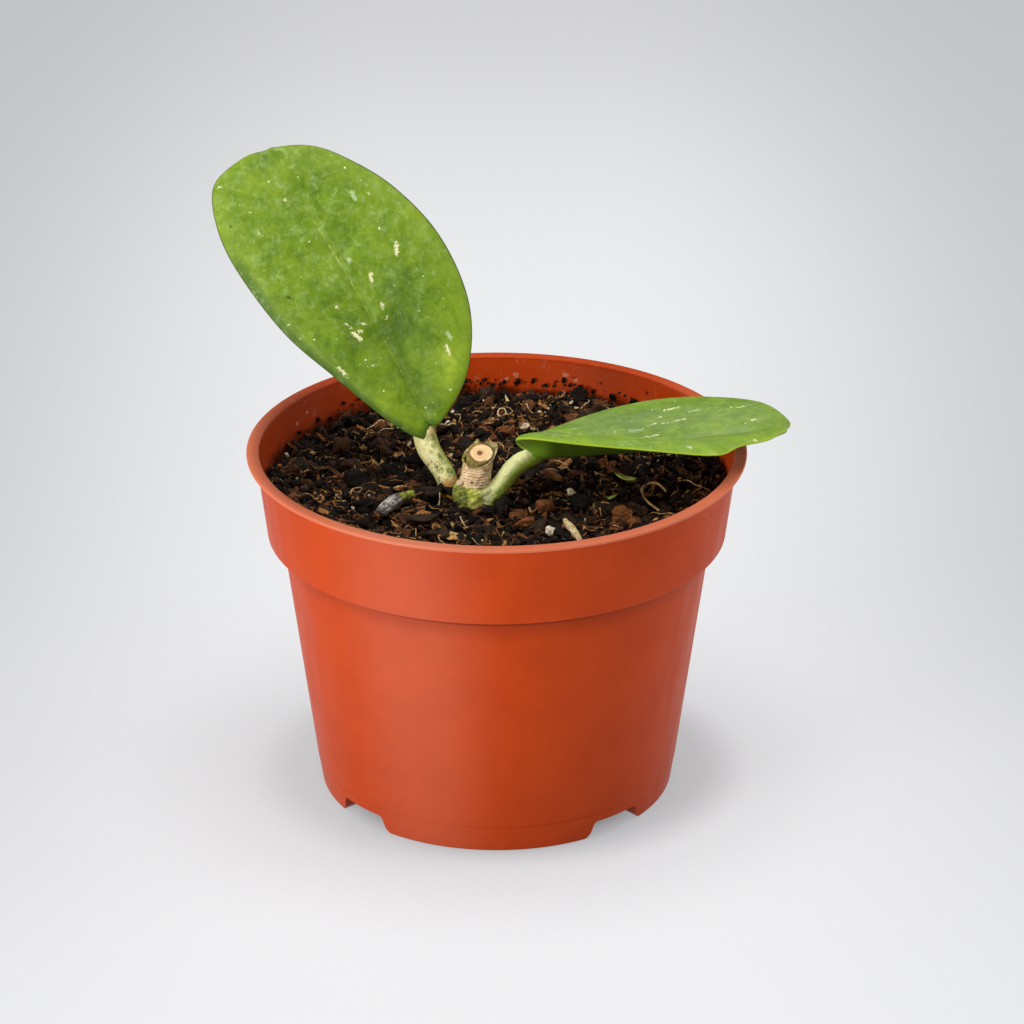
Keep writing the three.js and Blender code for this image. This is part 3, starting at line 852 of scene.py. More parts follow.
@dataclass(frozen=True)
class Papery:
    """Dry wrinkled bark of the stump, with moss where the value moss is high."""

    name: str = "stump_bark"
    tan: Colour = srgb(248, 226, 180)
    pink: Colour = srgb(226, 186, 138)
    crease: Colour = srgb(108, 66, 38)
    scab: Colour = srgb(112, 52, 32)
    scars: tuple[Bead, ...] = ((-8.1, -14.9, 83.8, 0.6), (-5.9, -16.3, 84.6, 0.55))

    def build(self) -> bpy.types.Material:
        """Makes the material.

        Returns:
            The material.
        """
        g = Graph(self.name)
        at = g.place()
        fold = g.noise(g.stretch(at, (0.4, 0.4, 1)), 0.00045, 4, 0.6, 0.6)
        cloud = g.noise(at, 0.0018, 4, 0.6)
        colour = g.mix(g.fade(cloud, 0.35, 0.65), self.tan, self.pink)
        # painted shade in the creases, where the noise relief and the sleeve's wrinkles are low
        colour = g.mix(g.fall(fold, 0.36, 0.45, 0.7), colour, self.crease)
        colour = g.mix(g.fall(g.value("fold"), 0.1, 0.62, 0.9), colour, self.crease)
        for x, y, z, reach in self.scars:
            edge = g.blend((g.away(at, metres(x, y, z)), 1.0), (cloud, reach * MM))
            colour = g.mix(g.fall(edge, 1.1 * reach * MM, 1.5 * reach * MM, 0.85), colour, self.scab)
        olive = g.product(g.value("olive"), g.fade(cloud, 0.3, 0.6, 0.5, 1.0))
        # the olive is darker where the relief is low, as painted shade
        colour = g.mix(olive, colour, g.mix(g.fade(fold, 0.35, 0.6), srgb(74, 66, 22), srgb(164, 148, 74)))
        moss = g.product(g.value("moss"), g.fade(g.noise(at, 0.0012, 5, 0.7), 0.36, 0.56))
        green = g.mix(g.fade(g.noise(at, 0.0005, 3), 0.35, 0.65), srgb(60, 82, 12), srgb(158, 178, 54))
        colour = g.mix(moss, colour, green)
        height = g.blend((fold, 1.0), (cloud, 0.5))
        return g.finish(colour, 0.72, g.bump(height, 0.0002), Specular_IOR_Level=0.3)


@dataclass(frozen=True)
class CutWood:
    """Fresh pale cut with rings round an off-centre pith and an olive rind. ring is 1 at the rim."""

    name: str = "cut_wood"

    def build(self) -> bpy.types.Material:
        """Makes the material.

        Returns:
            The material.
        """
        g = Graph(self.name)
        at = g.place()
        ring = g.blend((g.value("ring"), 1.0), (g.centred(g.noise(at, 0.002, 4)), 0.34))
        face = g.ramp(ring, [
            (0.0, srgb(196, 130, 70)), (0.08, srgb(120, 62, 22)), (0.22, srgb(134, 76, 32)),
            (0.3, srgb(226, 184, 126)), (0.42, srgb(240, 208, 154)), (0.5, srgb(220, 174, 118)),
            (0.58, srgb(242, 212, 162)), (0.7, srgb(230, 188, 132)), (0.78, srgb(244, 216, 166)),
            (0.84, srgb(222, 184, 120)), (0.88, srgb(146, 112, 46)), (1.0, srgb(104, 80, 28)),
        ])
        rays = g.noise(at, 0.0003, 3, 0.7)
        face = g.mix(g.fall(rays, 0.3, 0.7, 0.22), face, srgb(150, 96, 58))
        rind = g.ramp(g.noise(g.stretch(at, (1, 1, 0.4)), 0.0011, 4, 0.65),
                      [(0.3, srgb(76, 62, 18)), (0.55, srgb(126, 108, 40)), (0.75, srgb(168, 142, 74))])
        colour = g.mix(g.fade(g.value("face"), 0.4, 0.6), rind, face)
        return g.finish(colour, 0.6, g.bump(rays, 0.00012), Specular_IOR_Level=0.4)


@dataclass(frozen=True)
class WeatheredTwig:
    """Grey-white dead twig with dark cracks along it and moss at the end where the value along is 1."""

    name: str = "weathered_twig"

    def build(self) -> bpy.types.Material:
        """Makes the material.

        Returns:
            The material.
        """
        g = Graph(self.name)
        grain = g.value("grain", rows=True)
        crack = g.noise(g.stretch(grain, (0.25, 1, 1)), 0.5, 5, 0.7, 0.4)
        cloud = g.noise(grain, 1.3, 3)
        along = g.value("along")
        colour = g.ramp(crack, [(0.36, srgb(40, 34, 30)), (0.46, srgb(120, 112, 104)),
                                (0.6, srgb(214, 208, 200)), (0.72, srgb(238, 234, 228))])
        wear_and_sheen = g.fade(g.blend((along, 1.0), (cloud, 0.5)), 0.55, 0.95)
        colour = g.mix(wear_and_sheen, colour, g.ramp(crack, [(0.4, srgb(30, 26, 22)), (0.62, srgb(96, 86, 72))]))
        moss = g.product(g.fade(g.noise(grain, 0.9, 4), 0.47, 0.56), g.fade(along, 0.52, 0.72))
        colour = g.mix(moss, colour, g.ramp(cloud, [(0.4, srgb(110, 118, 22)), (0.6, srgb(196, 198, 72))]))
        return g.finish(colour, 0.8, g.bump(crack, 0.0004), Specular_IOR_Level=0.3)


@dataclass(frozen=True)
class FreshScrap:
    """Thin scrap of leaf or peel, green to yellow."""

    name: str
    light: Colour
    dark: Colour

    def build(self) -> bpy.types.Material:
        """Makes the material.

        Returns:
            The material.
        """
        g = Graph(self.name)
        grain = g.value("grain", rows=True)
        vein = g.noise(g.stretch(grain, (0.3, 1, 1)), 0.5, 4, 0.6)
        colour = g.ramp(vein, [(0.35, self.dark), (0.62, self.light)])
        return g.finish(colour, 0.55, g.bump(vein, 0.0002), Specular_IOR_Level=0.4)


@dataclass(frozen=True)
class StudioPaper:
    """Seamless pale paper on a softly lit table, glowing a little as painted light, darker towards the back
    and the sides as painted shade.
    """

    name: str = "studio_paper"
    colour: Colour = srgb(237, 238, 240)
    far: Colour = srgb(212, 212, 214)
    side: Colour = srgb(196, 197, 200)
    fibre: Colour = srgb(160, 160, 164)
    shade: Colour = srgb(120, 120, 124)
    dark: Colour = srgb(16, 12, 10)
    glow: float = 0.72
    pot_foot: float = 42 * MM
    shades: tuple[tuple[Point, float, float, float], ...] = (
        (metres(9, 3, 0), 40 * MM, 56 * MM, 0.28),
        (metres(-8, 2, 0), 40 * MM, 56 * MM, 0.16),
        (metres(0, 6, 0), 45 * MM, 100 * MM, 0.12),
    )  # middle, where it starts to fall, where it ends, and strength

    def build(self) -> bpy.types.Material:
        """Makes the material.

        Returns:
            The material.
        """
        g = Graph(self.name)
        at = g.place()
        depth = g.part(at, 1)
        # painted shade: the paper is darker towards the back and the sides
        colour = g.mix(g.fade(depth, 0.28, 0.68), self.colour, self.far)
        aside = g.product(g.fade(g.math("ABSOLUTE", g.part(at, 0)), 0.03, 0.19),
                          g.fade(depth, -0.2, 0.15, 0.25, 0.9))
        colour = g.mix(aside, colour, self.side)
        paper = g.noise(at, 0.0014, 4, 0.7)
        colour = g.mix(g.fall(paper, 0.3, 0.7, 0.04), colour, self.fibre)
        # the soft shade round the pot's foot and the dark under it
        soft = g.blend(*((g.fall(g.away(at, middle), full, end, strength), 1.0)
                         for middle, full, end, strength in self.shades))
        colour = g.mix(soft, colour, self.shade)
        under = g.fall(g.away(at, (0, 0, 0)), 0.65 * self.pot_foot, self.pot_foot + 1 * MM, 0.97)
        colour = g.mix(under, colour, self.dark)
        g.put(g.shader.inputs["Emission Color"], colour)
        dim = g.mix(1.0 - self.glow, (0, 0, 0, 1), colour)
        return g.finish(dim, 0.9, g.bump(paper, 0.00005), Specular_IOR_Level=0.1,
                        Emission_Strength=self.glow)


# ---------------------------------------------------------------- pot


@dataclass
class NurseryPot:
    """Thin-walled moulded pot: flanged rim, straight collar, tapered wall, foot parted by a cross."""

    height: float = 86.85 * MM
    rim_radius: float = 60 * MM
    rim_inner: float = 57 * MM
    rim_thickness: float = 0.8 * MM
    wall: float = 0.85 * MM
    collar_top: float = 57.8 * MM
    collar_bottom: float = 55.25 * MM
    collar_height: float = 65.9 * MM
    neck: float = 51.85 * MM
    seam: float = 43.96 * MM
    seam_height: float = 6.95 * MM
    foot: float = 42.85 * MM
    bottom: float = 1.2 * MM
    channel_width: float = 13.2 * MM
    channel_spread: float = 1 * MM
    channel_height: float = 4.6 * MM
    channel_turn: float = -3.4  # degrees
    arms: Pair = (45, 135)  # ways of the cross's two channels in degrees, before its turn
    drain_radius: float = 3.6 * MM
    drain_ring: float = 28 * MM
    drain_sides: int = 48
    crease: float = 32  # degrees, from which an edge is shaded sharp
    hair: float = 0.06 * MM  # least room between the wall and what lies against it
    segments: int = 288

    def outside(self) -> Shape:
        """The filled outer form, up to the rim."""
        under_rim = self.height - self.rim_thickness
        groove = 0.12 * MM
        return revolve(fillet([
            (0, 0, 0),
            (self.foot, 0, 0.9 * MM),
            (self.seam - 0.04 * MM, self.seam_height - groove, 0),
            (self.seam - groove, self.seam_height, 0),
            (self.seam + 0.06 * MM, self.seam_height + groove, 0),
            (self.neck, self.collar_height, 0.5 * MM),
            (self.collar_bottom, self.collar_height, 0.3 * MM),
            (self.collar_top, under_rim, 0.6 * MM),
            (self.rim_radius, under_rim, 0.28 * MM),
            (self.rim_radius, self.height, 0.36 * MM),
            (0, self.height, 0),
        ]), self.segments)

    def room(self, gap: float, above: float) -> Piece:
        """The space inside the pot, raised over the channels.

        Args:
            gap: How far it keeps from the wall.
            above: How far it reaches above the rim.

        Returns:
            The room as a closed mesh.
        """
        inset = self.wall + gap
        ledge = self.collar_height + inset
        lip = 0.34 * MM
        mouth = self.rim_inner - gap
        room = revolve(fillet([
            (0, self.bottom + gap, 0),
            (self.foot - 1.6 * MM - gap, self.bottom + gap, 0.8 * MM),
            (self.seam - inset, self.seam_height + gap, 0),
            (self.neck - inset, ledge, 0.3 * MM),
            (self.collar_bottom - inset, ledge, 0.3 * MM),
            (mouth, self.height - self.rim_thickness, 0.3 * MM),
            (mouth, self.height + 0.02 * MM, lip),
            (mouth + 1.2 * MM, self.height + 0.04 * MM, 0),
            (mouth + 1.2 * MM, self.height + above, 0),
            (0, self.height + above, 0),
        ]), self.segments).build("room")
        for azimuth in self.arms:
            carve(room, self.channel(azimuth, inset))
        return room

    def channel(self, azimuth: float, grow: float = 0.0) -> Piece:
        """One arm of the cross under the floor, flared where it meets the feet's lower corners.

        Args:
            azimuth: Way of the arm in degrees, before the cross's own turn.
            grow: How much wider and higher it is made.

        Returns:
            The arm as a closed mesh.
        """
        half = self.channel_width / 2 + grow
        flare = half + self.channel_spread
        top = self.channel_height + grow
        right = fillet([
            (0, -1 * MM, 0),
            (flare + 2.4 * MM, -1 * MM, 0),
            (flare + 1.3 * MM, 0, 0.9 * MM),
            (flare - 0.1 * MM, 1.5 * MM, 1.2 * MM),
            (half, top, 1.1 * MM),
            (0, top, 0),
        ], 6)
        outline = np.concatenate([right[1:-1], (right * [-1, 1])[::-1][1:-1]])
        reach = 1.2 * self.rim_radius
        rings = np.array([[(along, x, z) for x, z in outline] for along in (-reach, reach)])
        arm = ringed(rings, (rings[0].mean(0), rings[1].mean(0)))
        turn = Matrix.Rotation(math.radians(azimuth + self.channel_turn), 3, "Z")
        arm.points = arm.points @ np.array(turn).T
        return arm.build("channel")

    def keep_in(self, points: Array) -> Array:
        """Points of the filling pressed back from the inner wall of the collar.

        Args:
            points: Places as rows.

        Returns:
            The places, none of them nearer the wall than a hair.
        """
        ledge = self.collar_height + self.wall
        rise = (points[:, 2] - ledge) / (self.height - self.rim_thickness - ledge)
        low = self.collar_bottom - self.wall
        limit = low + (self.rim_inner - low) * rise - self.hair
        radius = np.hypot(points[:, 0], points[:, 1])
        share = np.minimum(1, limit / np.maximum(radius, 1e-9))
        return points * np.column_stack([share, share, np.ones(len(points))])

    def drain(self, x: float, y: float) -> Piece:
        """A drain hole's cutter through the raised floor of a channel.

        Args:
            x: Place of its middle.
            y: Place of its middle.

        Returns:
            The cutter.
        """
        top, low = self.channel_height + 4 * MM, self.channel_height - 3 * MM
        profile = [(0, low), (self.drain_radius, low), (self.drain_radius, top), (0, top)]
        hole = revolve(np.array(profile), self.drain_sides)
        hole.points = hole.points + [x, y, 0]
        return hole.build("drain")

    def build(self) -> list[Piece]:
        """Makes and dresses the pot.

        Returns:
            A list with the finished piece.
        """
        pot = self.outside().build("nursery_pot")
        for azimuth in self.arms:
            carve(pot, self.channel(azimuth))
        carve(pot, self.room(0.0, 6 * MM))
        carve(pot, self.drain(0, 0))
        for quarter in range(4):
            angle = math.radians(self.arms[0] + self.channel_turn + 90 * quarter)
            carve(pot, self.drain(self.drain_ring * math.cos(angle), self.drain_ring * math.sin(angle)))
        mesh = pot.data
        mesh.set_sharp_from_angle(angle=math.radians(self.crease))
        place = read(mesh)
        outer = np.interp(place[:, 2], *np.array([
            (0, self.foot), (self.seam_height, self.seam), (self.collar_height, self.neck),
            (self.collar_height + 0.02 * MM, self.collar_bottom), (self.height, self.collar_top),
        ]).T)
        inside = np.hypot(place[:, 0], place[:, 1]) < outer - 0.5 * self.wall
        store(mesh, "inside", inside)
        return [seat(pot, TerracottaPlastic().build(), "pot_plastic", "pot")]


# ---------------------------------------------------------------- potting mix


def cube_grid(cuts: int) -> tuple[Array, list]:
    """A cube from -1 to 1 with a grid on each side.

    Args:
        cuts: Cuts across each side, each way.

    Returns:
        Its points and faces.
    """
    side = np.linspace(-1, 1, cuts + 2)
    places: dict[tuple, int] = {}
    faces = []
    for axis in range(3):
        for sign in (-1, 1):
            for i in range(cuts + 1):
                for j in range(cuts + 1):
                    face = []
                    for di, dj in ((0, 0), (1, 0), (1, 1), (0, 1)):
                        spot = [0.0, 0.0, 0.0]
                        spot[axis] = sign
                        spot[(axis + 1) % 3] = round(side[i + di], 6)
                        spot[(axis + 2) % 3] = round(side[j + dj], 6)
                        face.append(places.setdefault(tuple(spot), len(places)))
                    faces.append(face if sign > 0 else face[::-1])
    return np.array(list(places)), faces


def turned(points: Array, yaw: float, pitch: float, roll: float) -> Array:
    """Points turned by roll round X, then pitch round Y, then yaw round Z, in radians."""
    turn = Matrix.Rotation(yaw, 3, "Z") @ Matrix.Rotation(pitch, 3, "Y") @ Matrix.Rotation(roll, 3, "X")
    return points @ np.array(turn).T


@dataclass(frozen=True)
class Grain:
    """One kind of piece in the mix, in millimetres and shares."""

    name: str
    length: Pair
    width: Pair  # shares of the length
    depth: Pair
    cuts: int
    facets: int  # flats that it is broken along
    rough: float
    bend: float
    tilt: float
    tints: tuple[Point, ...]  # weight, lowest and highest tint
    sink: float = 0.7  # how far it may reach in under what stands in the surface, in millimetres

    def tint(self, rng: np.random.Generator) -> float:
        """Draws a tint.

        Args:
            rng: Source of the draw.

        Returns:
            The tint from 0 to 1.
        """
        weights = np.array([row[0] for row in self.tints])
        _, low, high = self.tints[rng.choice(len(weights), p=weights / weights.sum())]
        return rng.uniform(low, high)

    def chip(self, rng: np.random.Generator, size: Array, tint: float) -> Shape:
        """Makes one chip about the origin, a ball cut back to a number of flats.

        Args:
            rng: Source of its random form.
            size: Its length, width and depth in metres.
            tint: Its tint.

        Returns:
            The chip with the values tint and grain.
        """
        cube, faces = TEMPLATES[self.cuts]
        way = unit(cube)
        flats = unit(rng.normal(size=(self.facets, 3)))
        facing = np.maximum(way @ flats.T, 0.01)
        reach = np.minimum(1.12, (rng.uniform(0.62, 0.98, self.facets) / facing).min(1))
        p = way * (reach * (1 + 0.45 * self.rough * ripple(way, 1.3, int(rng.integers(1 << 30)), 5)))[:, None]
        p[:, 1] *= 1 + rng.uniform(-0.45, 0.45) * p[:, 0]
        p[:, 1] += rng.uniform(-0.35, 0.35) * p[:, 0] ** 2
        p[:, 2] += self.bend * rng.uniform(0.3, 1) * (p[:, 0] ** 2 - 0.4) * size[0] / size[2] * 0.25
        p = p + rng.normal(0, 0.06 * self.rough, p.shape)
        place = p * size / 2
        grain = place / MM + rng.uniform(-50, 50, 3)
        return Shape(place, faces, {"tint": np.full(len(p), tint), "grain": grain})


DARK = ((0.62, 0.06, 0.4), (0.24, 0.36, 0.58), (0.14, 0.58, 0.76))
BARK = ((0.3, 0.2, 0.5), (0.36, 0.55, 0.74), (0.24, 0.72, 0.84), (0.1, 0.84, 0.93))
BIG_CLOD = Grain("clods", (3.8, 6.2), (0.62, 0.9), (0.5, 0.8), 4, 10, 0.5, 0.1, 0.5, DARK)
CLOD = Grain("chunks", (1.7, 3.8), (0.5, 0.9), (0.4, 0.75), 2, 8, 0.5, 0.2, 0.8, DARK)
CRUMB = Grain("crumbs", (0.6, 1.7), (0.5, 0.9), (0.45, 0.8), 1, 7, 0.5, 0.1, 1.0,
              ((0.58, 0.05, 0.42), (0.22, 0.42, 0.68), (0.15, 0.68, 0.88), (0.05, 0.9, 1.0)), 1.5)
BARK_FLAKE = Grain("flakes", (2.6, 6.8), (0.26, 0.5), (0.09, 0.18), 3, 9, 0.4, 0.6, 0.6, BARK)
SHRED = Grain("shreds", (2.6, 7.5), (0.1, 0.24), (0.06, 0.12), 2, 7, 0.4, 0.9, 0.6,
              ((0.3, 0.3, 0.6), (0.4, 0.6, 0.8), (0.3, 0.8, 0.95)))
GRAINS = (BIG_CLOD, CLOD, CRUMB, BARK_FLAKE, SHRED)
FINE_CUTS = 11
TEMPLATES = {cuts: cube_grid(cuts) for cuts in {grain.cuts for grain in GRAINS} | {6, FINE_CUTS}}


class Heap:
    """Height map of the soil. Pieces are laid on it one by one, so they pile up instead of crossing."""

    def __init__(self, radius: float, level: Callable[[Array, Array], Array], depth: float) -> None:
        """Starts the heap below its final level.

        Args:
            radius: Radius of the soil.
            level: Final height at x and y.
            depth: How far below it the heap starts.
        """
        self.cell = 0.5 * MM
        self.radius = radius
        side = np.arange(-radius, radius + self.cell, self.cell)
        self.x, self.y = np.meshgrid(side, side, indexing="ij")
        self.target = level(self.x, self.y)
        self.height = self.target - depth
        self.inside = np.hypot(self.x, self.y) < radius
        self.clear = np.full(self.x.shape, radius)  # distance from what stands in the surface

    def window(self, x: float, y: float, reach: float) -> tuple[slice, slice]:
        """Cells round a place.

        Args:
            x: The place.
            y: The place.
            reach: How far round it.

        Returns:
            The cells' rows and columns.
        """
        low = [max(int((value - reach + self.radius) / self.cell), 0) for value in (x, y)]
        high = [int((value + reach + self.radius) / self.cell) + 2 for value in (x, y)]
        return slice(low[0], high[0]), slice(low[1], high[1])

    def block(self, x: float, y: float, reach: float) -> None:
        """Keeps pieces off a round place, which counts as filled."""
        self.clear = np.minimum(self.clear, np.hypot(self.x - x, self.y - y) - reach)
        self.height = np.where(self.clear < 0, self.target, self.height)

    def at(self, x: float, y: float) -> float:
        """Height of the heap at a place."""
        return float(self.height[self.window(x, y, 0.0)].mean())

    def want(self) -> float:
        """Mean depth that is still to be filled."""
        return float((self.target - self.height)[self.inside].mean())

    def lay(self, x: float, y: float, reach: float, depth: float, sink: float) -> float | None:
        """Rests a piece on the heap.

        Args:
            x: Place of its middle.
            y: Place of its middle.
            reach: Its half width seen from above.
            depth: Its height.
            sink: How far it may reach in under what stands in the surface.

        Returns:
            The height of its middle, or None where there is no room.
        """
        w = self.window(x, y, reach)
        away = np.hypot(self.x[w] - x, self.y[w] - y)
        under = away < reach
        if not under.any() or self.clear[w][under].min() < -sink:
            return None
        middle = float(np.quantile(self.height[w][under], 0.55)) + 0.28 * depth
        crown = middle + 0.45 * depth * np.sqrt(np.clip(1 - (away / reach) ** 2, 0, 1))
        self.height[w] = np.where(under, np.maximum(self.height[w], crown), self.height[w])
        return middle


@dataclass
class PottingMix:
    """The filling: a hidden body, piled bark, coir and crumbs, fine roots and what clings to the wall."""

    pot: NurseryPot
    level: float = 79 * MM
    depth: float = 4.2 * MM
    radius: float = 55.4 * MM
    seed: int = 11
    batch: int = 300  # grains drawn before the heap is measured again
    most_grains: int = 16000
    last_crumbs: int = 900  # crumbs strewn over the full heap
    fibre_count: int = 540
    fibre_ring: Pair = (53 * MM, 54.5 * MM)  # where fibres start, and where they are cut off
    clinging: int = 90  # crumbs on the inner wall
    highest: float = 2.6  # how far up the wall they cling, in millimetres
    mixture: tuple[tuple[Grain, float], ...] = (
        (BIG_CLOD, 0.014), (CLOD, 0.22), (CRUMB, 0.6), (BARK_FLAKE, 0.09), (SHRED, 0.076),
    )
    kept_clear: tuple[Point, ...] = (
        (-6.6, -13.2, 4.4), (-11.9, -4.4, 1.8), (-3.0, -13.6, 2.6), (-24.0, -17.0, 1.5), (-27.0, -22.0, 1.4),
        (-21.6, -13.4, 1.4), (-15.2, -10.4, 2.6), (-17.1, -28.3, 2.6), (-19.6, -28.6, 1.6),
        (-14.8, -28.0, 1.6), (11.4, -18.5, 2.2), (6.6, -26.4, 2.0), (13.5, -1.2, 2.2), (30.8, -0.4, 1.6),
        (27.4, -13.8, 1.5), (16.6, -29.6, 1.0), (18.8, -34.6, 1.0),
    )  # x, y and reach in millimetres of what stands in the surface
    heeled_in: tuple[Point, ...] = (
        (-11.2, -9.2, 4.4), (-13.4, -8.0, 3.4), (-10.2, -7.6, 3.0), (1.2, -18.8, 4.6), (-2.0, -19.8, 3.4),
        (2.6, -15.6, 3.6), (0.6, -16.4, 3.0),
    )  # x, y and length in millimetres of clods pushed up to the plant

    def surface(self, x: Array, y: Array) -> Array:
        """Height of the finished surface, as in the solids.

        Args:
            x: Places.
            y: Places.

        Returns:
            The heights.
        """
        a, b = x / MM, y / MM
        heave = np.sin(0.11 * a + 1.3) * np.cos(0.09 * b - 0.4) + 0.6 * np.sin(0.21 * a - 0.17 * b)
        back = 1.6 * smoothstep(b, 30, 55) * smoothstep(a, -15, 15)
        return self.level + (0.45 * heave + back) * MM

    def body(self) -> Piece:
        """Makes the hidden body of the filling, up to where the loose pieces start.

        Returns:
            The finished piece.
        """
        fill = self.pot.room(0.3 * MM, 6 * MM)
        sectors, rings = 180, 60
        angle = 2 * np.pi * np.arange(sectors) / sectors
        radii = np.concatenate([[1.2], np.linspace(1.2, 0.01, rings)]) * self.pot.collar_top
        x, y = radii[:, None] * np.cos(angle), radii[:, None] * np.sin(angle)
        lumps = ripple(np.stack([x, y, 0 * x], 2).reshape(-1, 3), 3 * MM, 4).reshape(x.shape) * 0.6 * MM
        z = self.surface(x, y) - self.depth + 0.6 * MM + lumps
        z[0] = -2 * MM
        rings_up = np.stack([x, y, z], 2)
        low, top = np.array([0, 0, -2 * MM]), rings_up[-1].mean(0)
        block = ringed(rings_up, (low, top)).build("potting_mix_body")
        carve(block, fill, Keep.INSIDE)
        place = read(block.data).astype(np.float32)
        store(block.data, "grain", place / MM)
        store(block.data, "tint", np.full(len(place), 0.1))
        return seat(block, PottingGrain().build(), "soil_mix", "soil")

    def pile(self, heap: Heap) -> list[Piece]:
        """Lays grains until the heap has reached its level.

        Args:
            heap: The heap.

        Returns:
            One finished piece for each kind of grain.
        """
        rng = np.random.default_rng(self.seed)
        kinds = [kind for kind, _ in self.mixture]
        odds = np.array([share for _, share in self.mixture])
        made: dict[str, list[Shape]] = {kind.name: [] for kind in kinds}
        count = 0
        for spot in self.heeled_in:
            self.drop(heap, CLOD, rng, made[CLOD.name], spot)
        while heap.want() > 0.35 * MM and count < self.most_grains:
            for kind in (kinds[k] for k in rng.choice(len(kinds), self.batch, p=odds / odds.sum())):
                self.drop(heap, kind, rng, made[kind.name])
            count += self.batch
        for _ in range(self.last_crumbs):
            self.drop(heap, CRUMB, rng, made[CRUMB.name])
        LOG.info("pile: %d draws", count)
        grain = PottingGrain().build()
        return [self.strewn(f"soil_{name}", shapes, grain) for name, shapes in made.items()]

    def strewn(self, name: str, shapes: list[Shape], grain: bpy.types.Material) -> Piece:
        """Makes one piece of many grains, kept within the pot.

        Args:
            name: The piece's name.
            shapes: The grains.
            grain: Its finish.

        Returns:
            The finished piece.
        """
        whole = join(shapes)
        whole.points = self.pot.keep_in(whole.points)
        return seat(whole.build(name, smooth=False), grain, "soil_mix")

    def drop(self, heap: Heap, kind: Grain, rng: np.random.Generator, made: list[Shape],
             spot: Point | None = None) -> None:
        """Lays one grain where the heap is lowest of a few places.

        Args:
            heap: The heap.
            kind: The grain's kind.
            rng: Source of its size, place and form.
            made: Gets the grain.
            spot: Place and length of a grain that is set down at a given place.
        """
        length = spot[2] * MM if spot else rng.uniform(*kind.length) * MM
        size = length * np.array([1.0, rng.uniform(*kind.width), rng.uniform(*kind.depth)])
        reach = 0.42 * (size[0] + size[1]) / 2
        spots = []
        for _ in range(3):
            radius = (self.radius - 0.8 * reach) * math.sqrt(rng.uniform())
            angle = rng.uniform(0, 2 * math.pi)
            x, y = radius * math.cos(angle), radius * math.sin(angle)
            spots.append((heap.at(x, y) - float(self.surface(np.array(x), np.array(y))), x, y))
        _, x, y = (0.0, spot[0] * MM, spot[1] * MM) if spot else min(spots)
        z = self.level + 0.4 * MM if spot else heap.lay(x, y, reach, size[2], kind.sink * MM)
        if z is None:
            return
        shape = kind.chip(rng, size, 0.25 if spot else kind.tint(rng))
        tilt = kind.tilt * rng.uniform(-1, 1, 2)
        shape.points = turned(shape.points, rng.uniform(0, 2 * math.pi), tilt[0], tilt[1]) + [x, y, z]
        made.append(shape)

    def fibres(self, heap: Heap) -> Piece:
        """Makes the fine roots and coir fibres that curl over the surface.

        Args:
            heap: The heap that they lie on.

        Returns:
            The finished piece.
        """
        rng = np.random.default_rng(self.seed + 1)
        start, end = self.fibre_ring
        made = []
        for _ in range(self.fibre_count):
            radius, angle = start * math.sqrt(rng.uniform()), rng.uniform(0, 2 * math.pi)
            spot = np.array([radius * math.cos(angle), radius * math.sin(angle)])
            steps = int(rng.integers(6, 15))
            heading, curl = rng.uniform(0, 2 * math.pi), rng.normal(0, 0.28)
            path = []
            arch = rng.uniform(0, 1.1) * MM
            for k in range(steps):
                if np.hypot(*spot) > end:
                    break
                share = k / (steps - 1)
                path.append([*spot, heap.at(*spot) + arch * math.sin(math.pi * share)])
                heading += curl + rng.normal(0, 0.35)
                spot = spot + rng.uniform(0.5, 1.0) * MM * np.array([math.cos(heading), math.sin(heading)])
            if len(path) < 5:
                continue
            path = np.array(path)
            path[1:-1, 2] = (path[:-2, 2] + 2 * path[1:-1, 2] + path[2:, 2]) / 4
            shares = np.linspace(0, 1, 2 * len(path))
            thick = rng.uniform(0.09, 0.24) * MM
            shape = tube(spline(path, shares), thick * (1 - 0.6 * shares), 5)
            tint = rng.choice([rng.uniform(0.6, 0.78), rng.uniform(0.78, 0.88), rng.uniform(0.88, 0.96)],
                              p=[0.4, 0.38, 0.22])
            values = {"tint": np.full(len(shape.points), tint), "grain": shape.points / MM}
            made.append(Shape(shape.points, shape.faces, values))
        return seat(join(made).build("soil_fibres"), PottingGrain().build(), "soil_mix")

    def wall_crumbs(self) -> Piece:
        """Makes the crumbs and clods that cling to the inner wall, most of them at the back.

        Returns:
            The finished piece.
        """
        rng = np.random.default_rng(self.seed + 2)
        made = []
        for k in range(self.clinging):
            azimuth = math.radians(82) + rng.normal(0, 0.5) if k % 8 else rng.uniform(0, 2 * math.pi)
            back = max(0.0, math.sin(azimuth))
            rise = min(abs(rng.normal(0, 0.5 + 0.7 * back)), self.highest) * MM
            length = rng.uniform(0.4, 1.1 + 0.9 * back * math.exp(-rise / (2 * MM))) * MM
            size = length * np.array([1, rng.uniform(0.6, 0.9), rng.uniform(0.5, 0.8)])
            radius = 56.0 * MM + rise * 0.12 - 0.35 * length
            z = float(self.surface(radius * np.cos(azimuth), radius * np.sin(azimuth))) - 0.6 * MM + rise
            shape = CRUMB.chip(rng, size, rng.uniform(0, 0.4))
            shape.points = turned(shape.points, *rng.uniform(0, 6, 3))
            shape.points += [radius * math.cos(azimuth), radius * math.sin(azimuth), z]
            made.append(shape)
        return self.strewn("soil_wall_crumbs", made, PottingGrain().build())

    def build(self) -> list[Piece]:
        """Makes the whole filling.

        Returns:
            The finished pieces.
        """
        body = self.body()
        heap = Heap(self.radius, self.surface, self.depth)
        for spot in self.kept_clear:
            heap.block(*metres(*spot))
        return [body, *self.pile(heap), self.fibres(heap), self.wall_crumbs()]


# ---------------------------------------------------------------- leaves


NO_MARK = 9.0  # distance in mm that counts as away from every mark
SHEET_GAP = 40.0  # keeps the noise of a blade's two faces apart


class Tone(Enum):
    """Kinds of mark on a blade, named for the value of the mesh that holds them."""

    CREAM = "fleck"
    FAINT = "smudge"
    DARK = "spot"


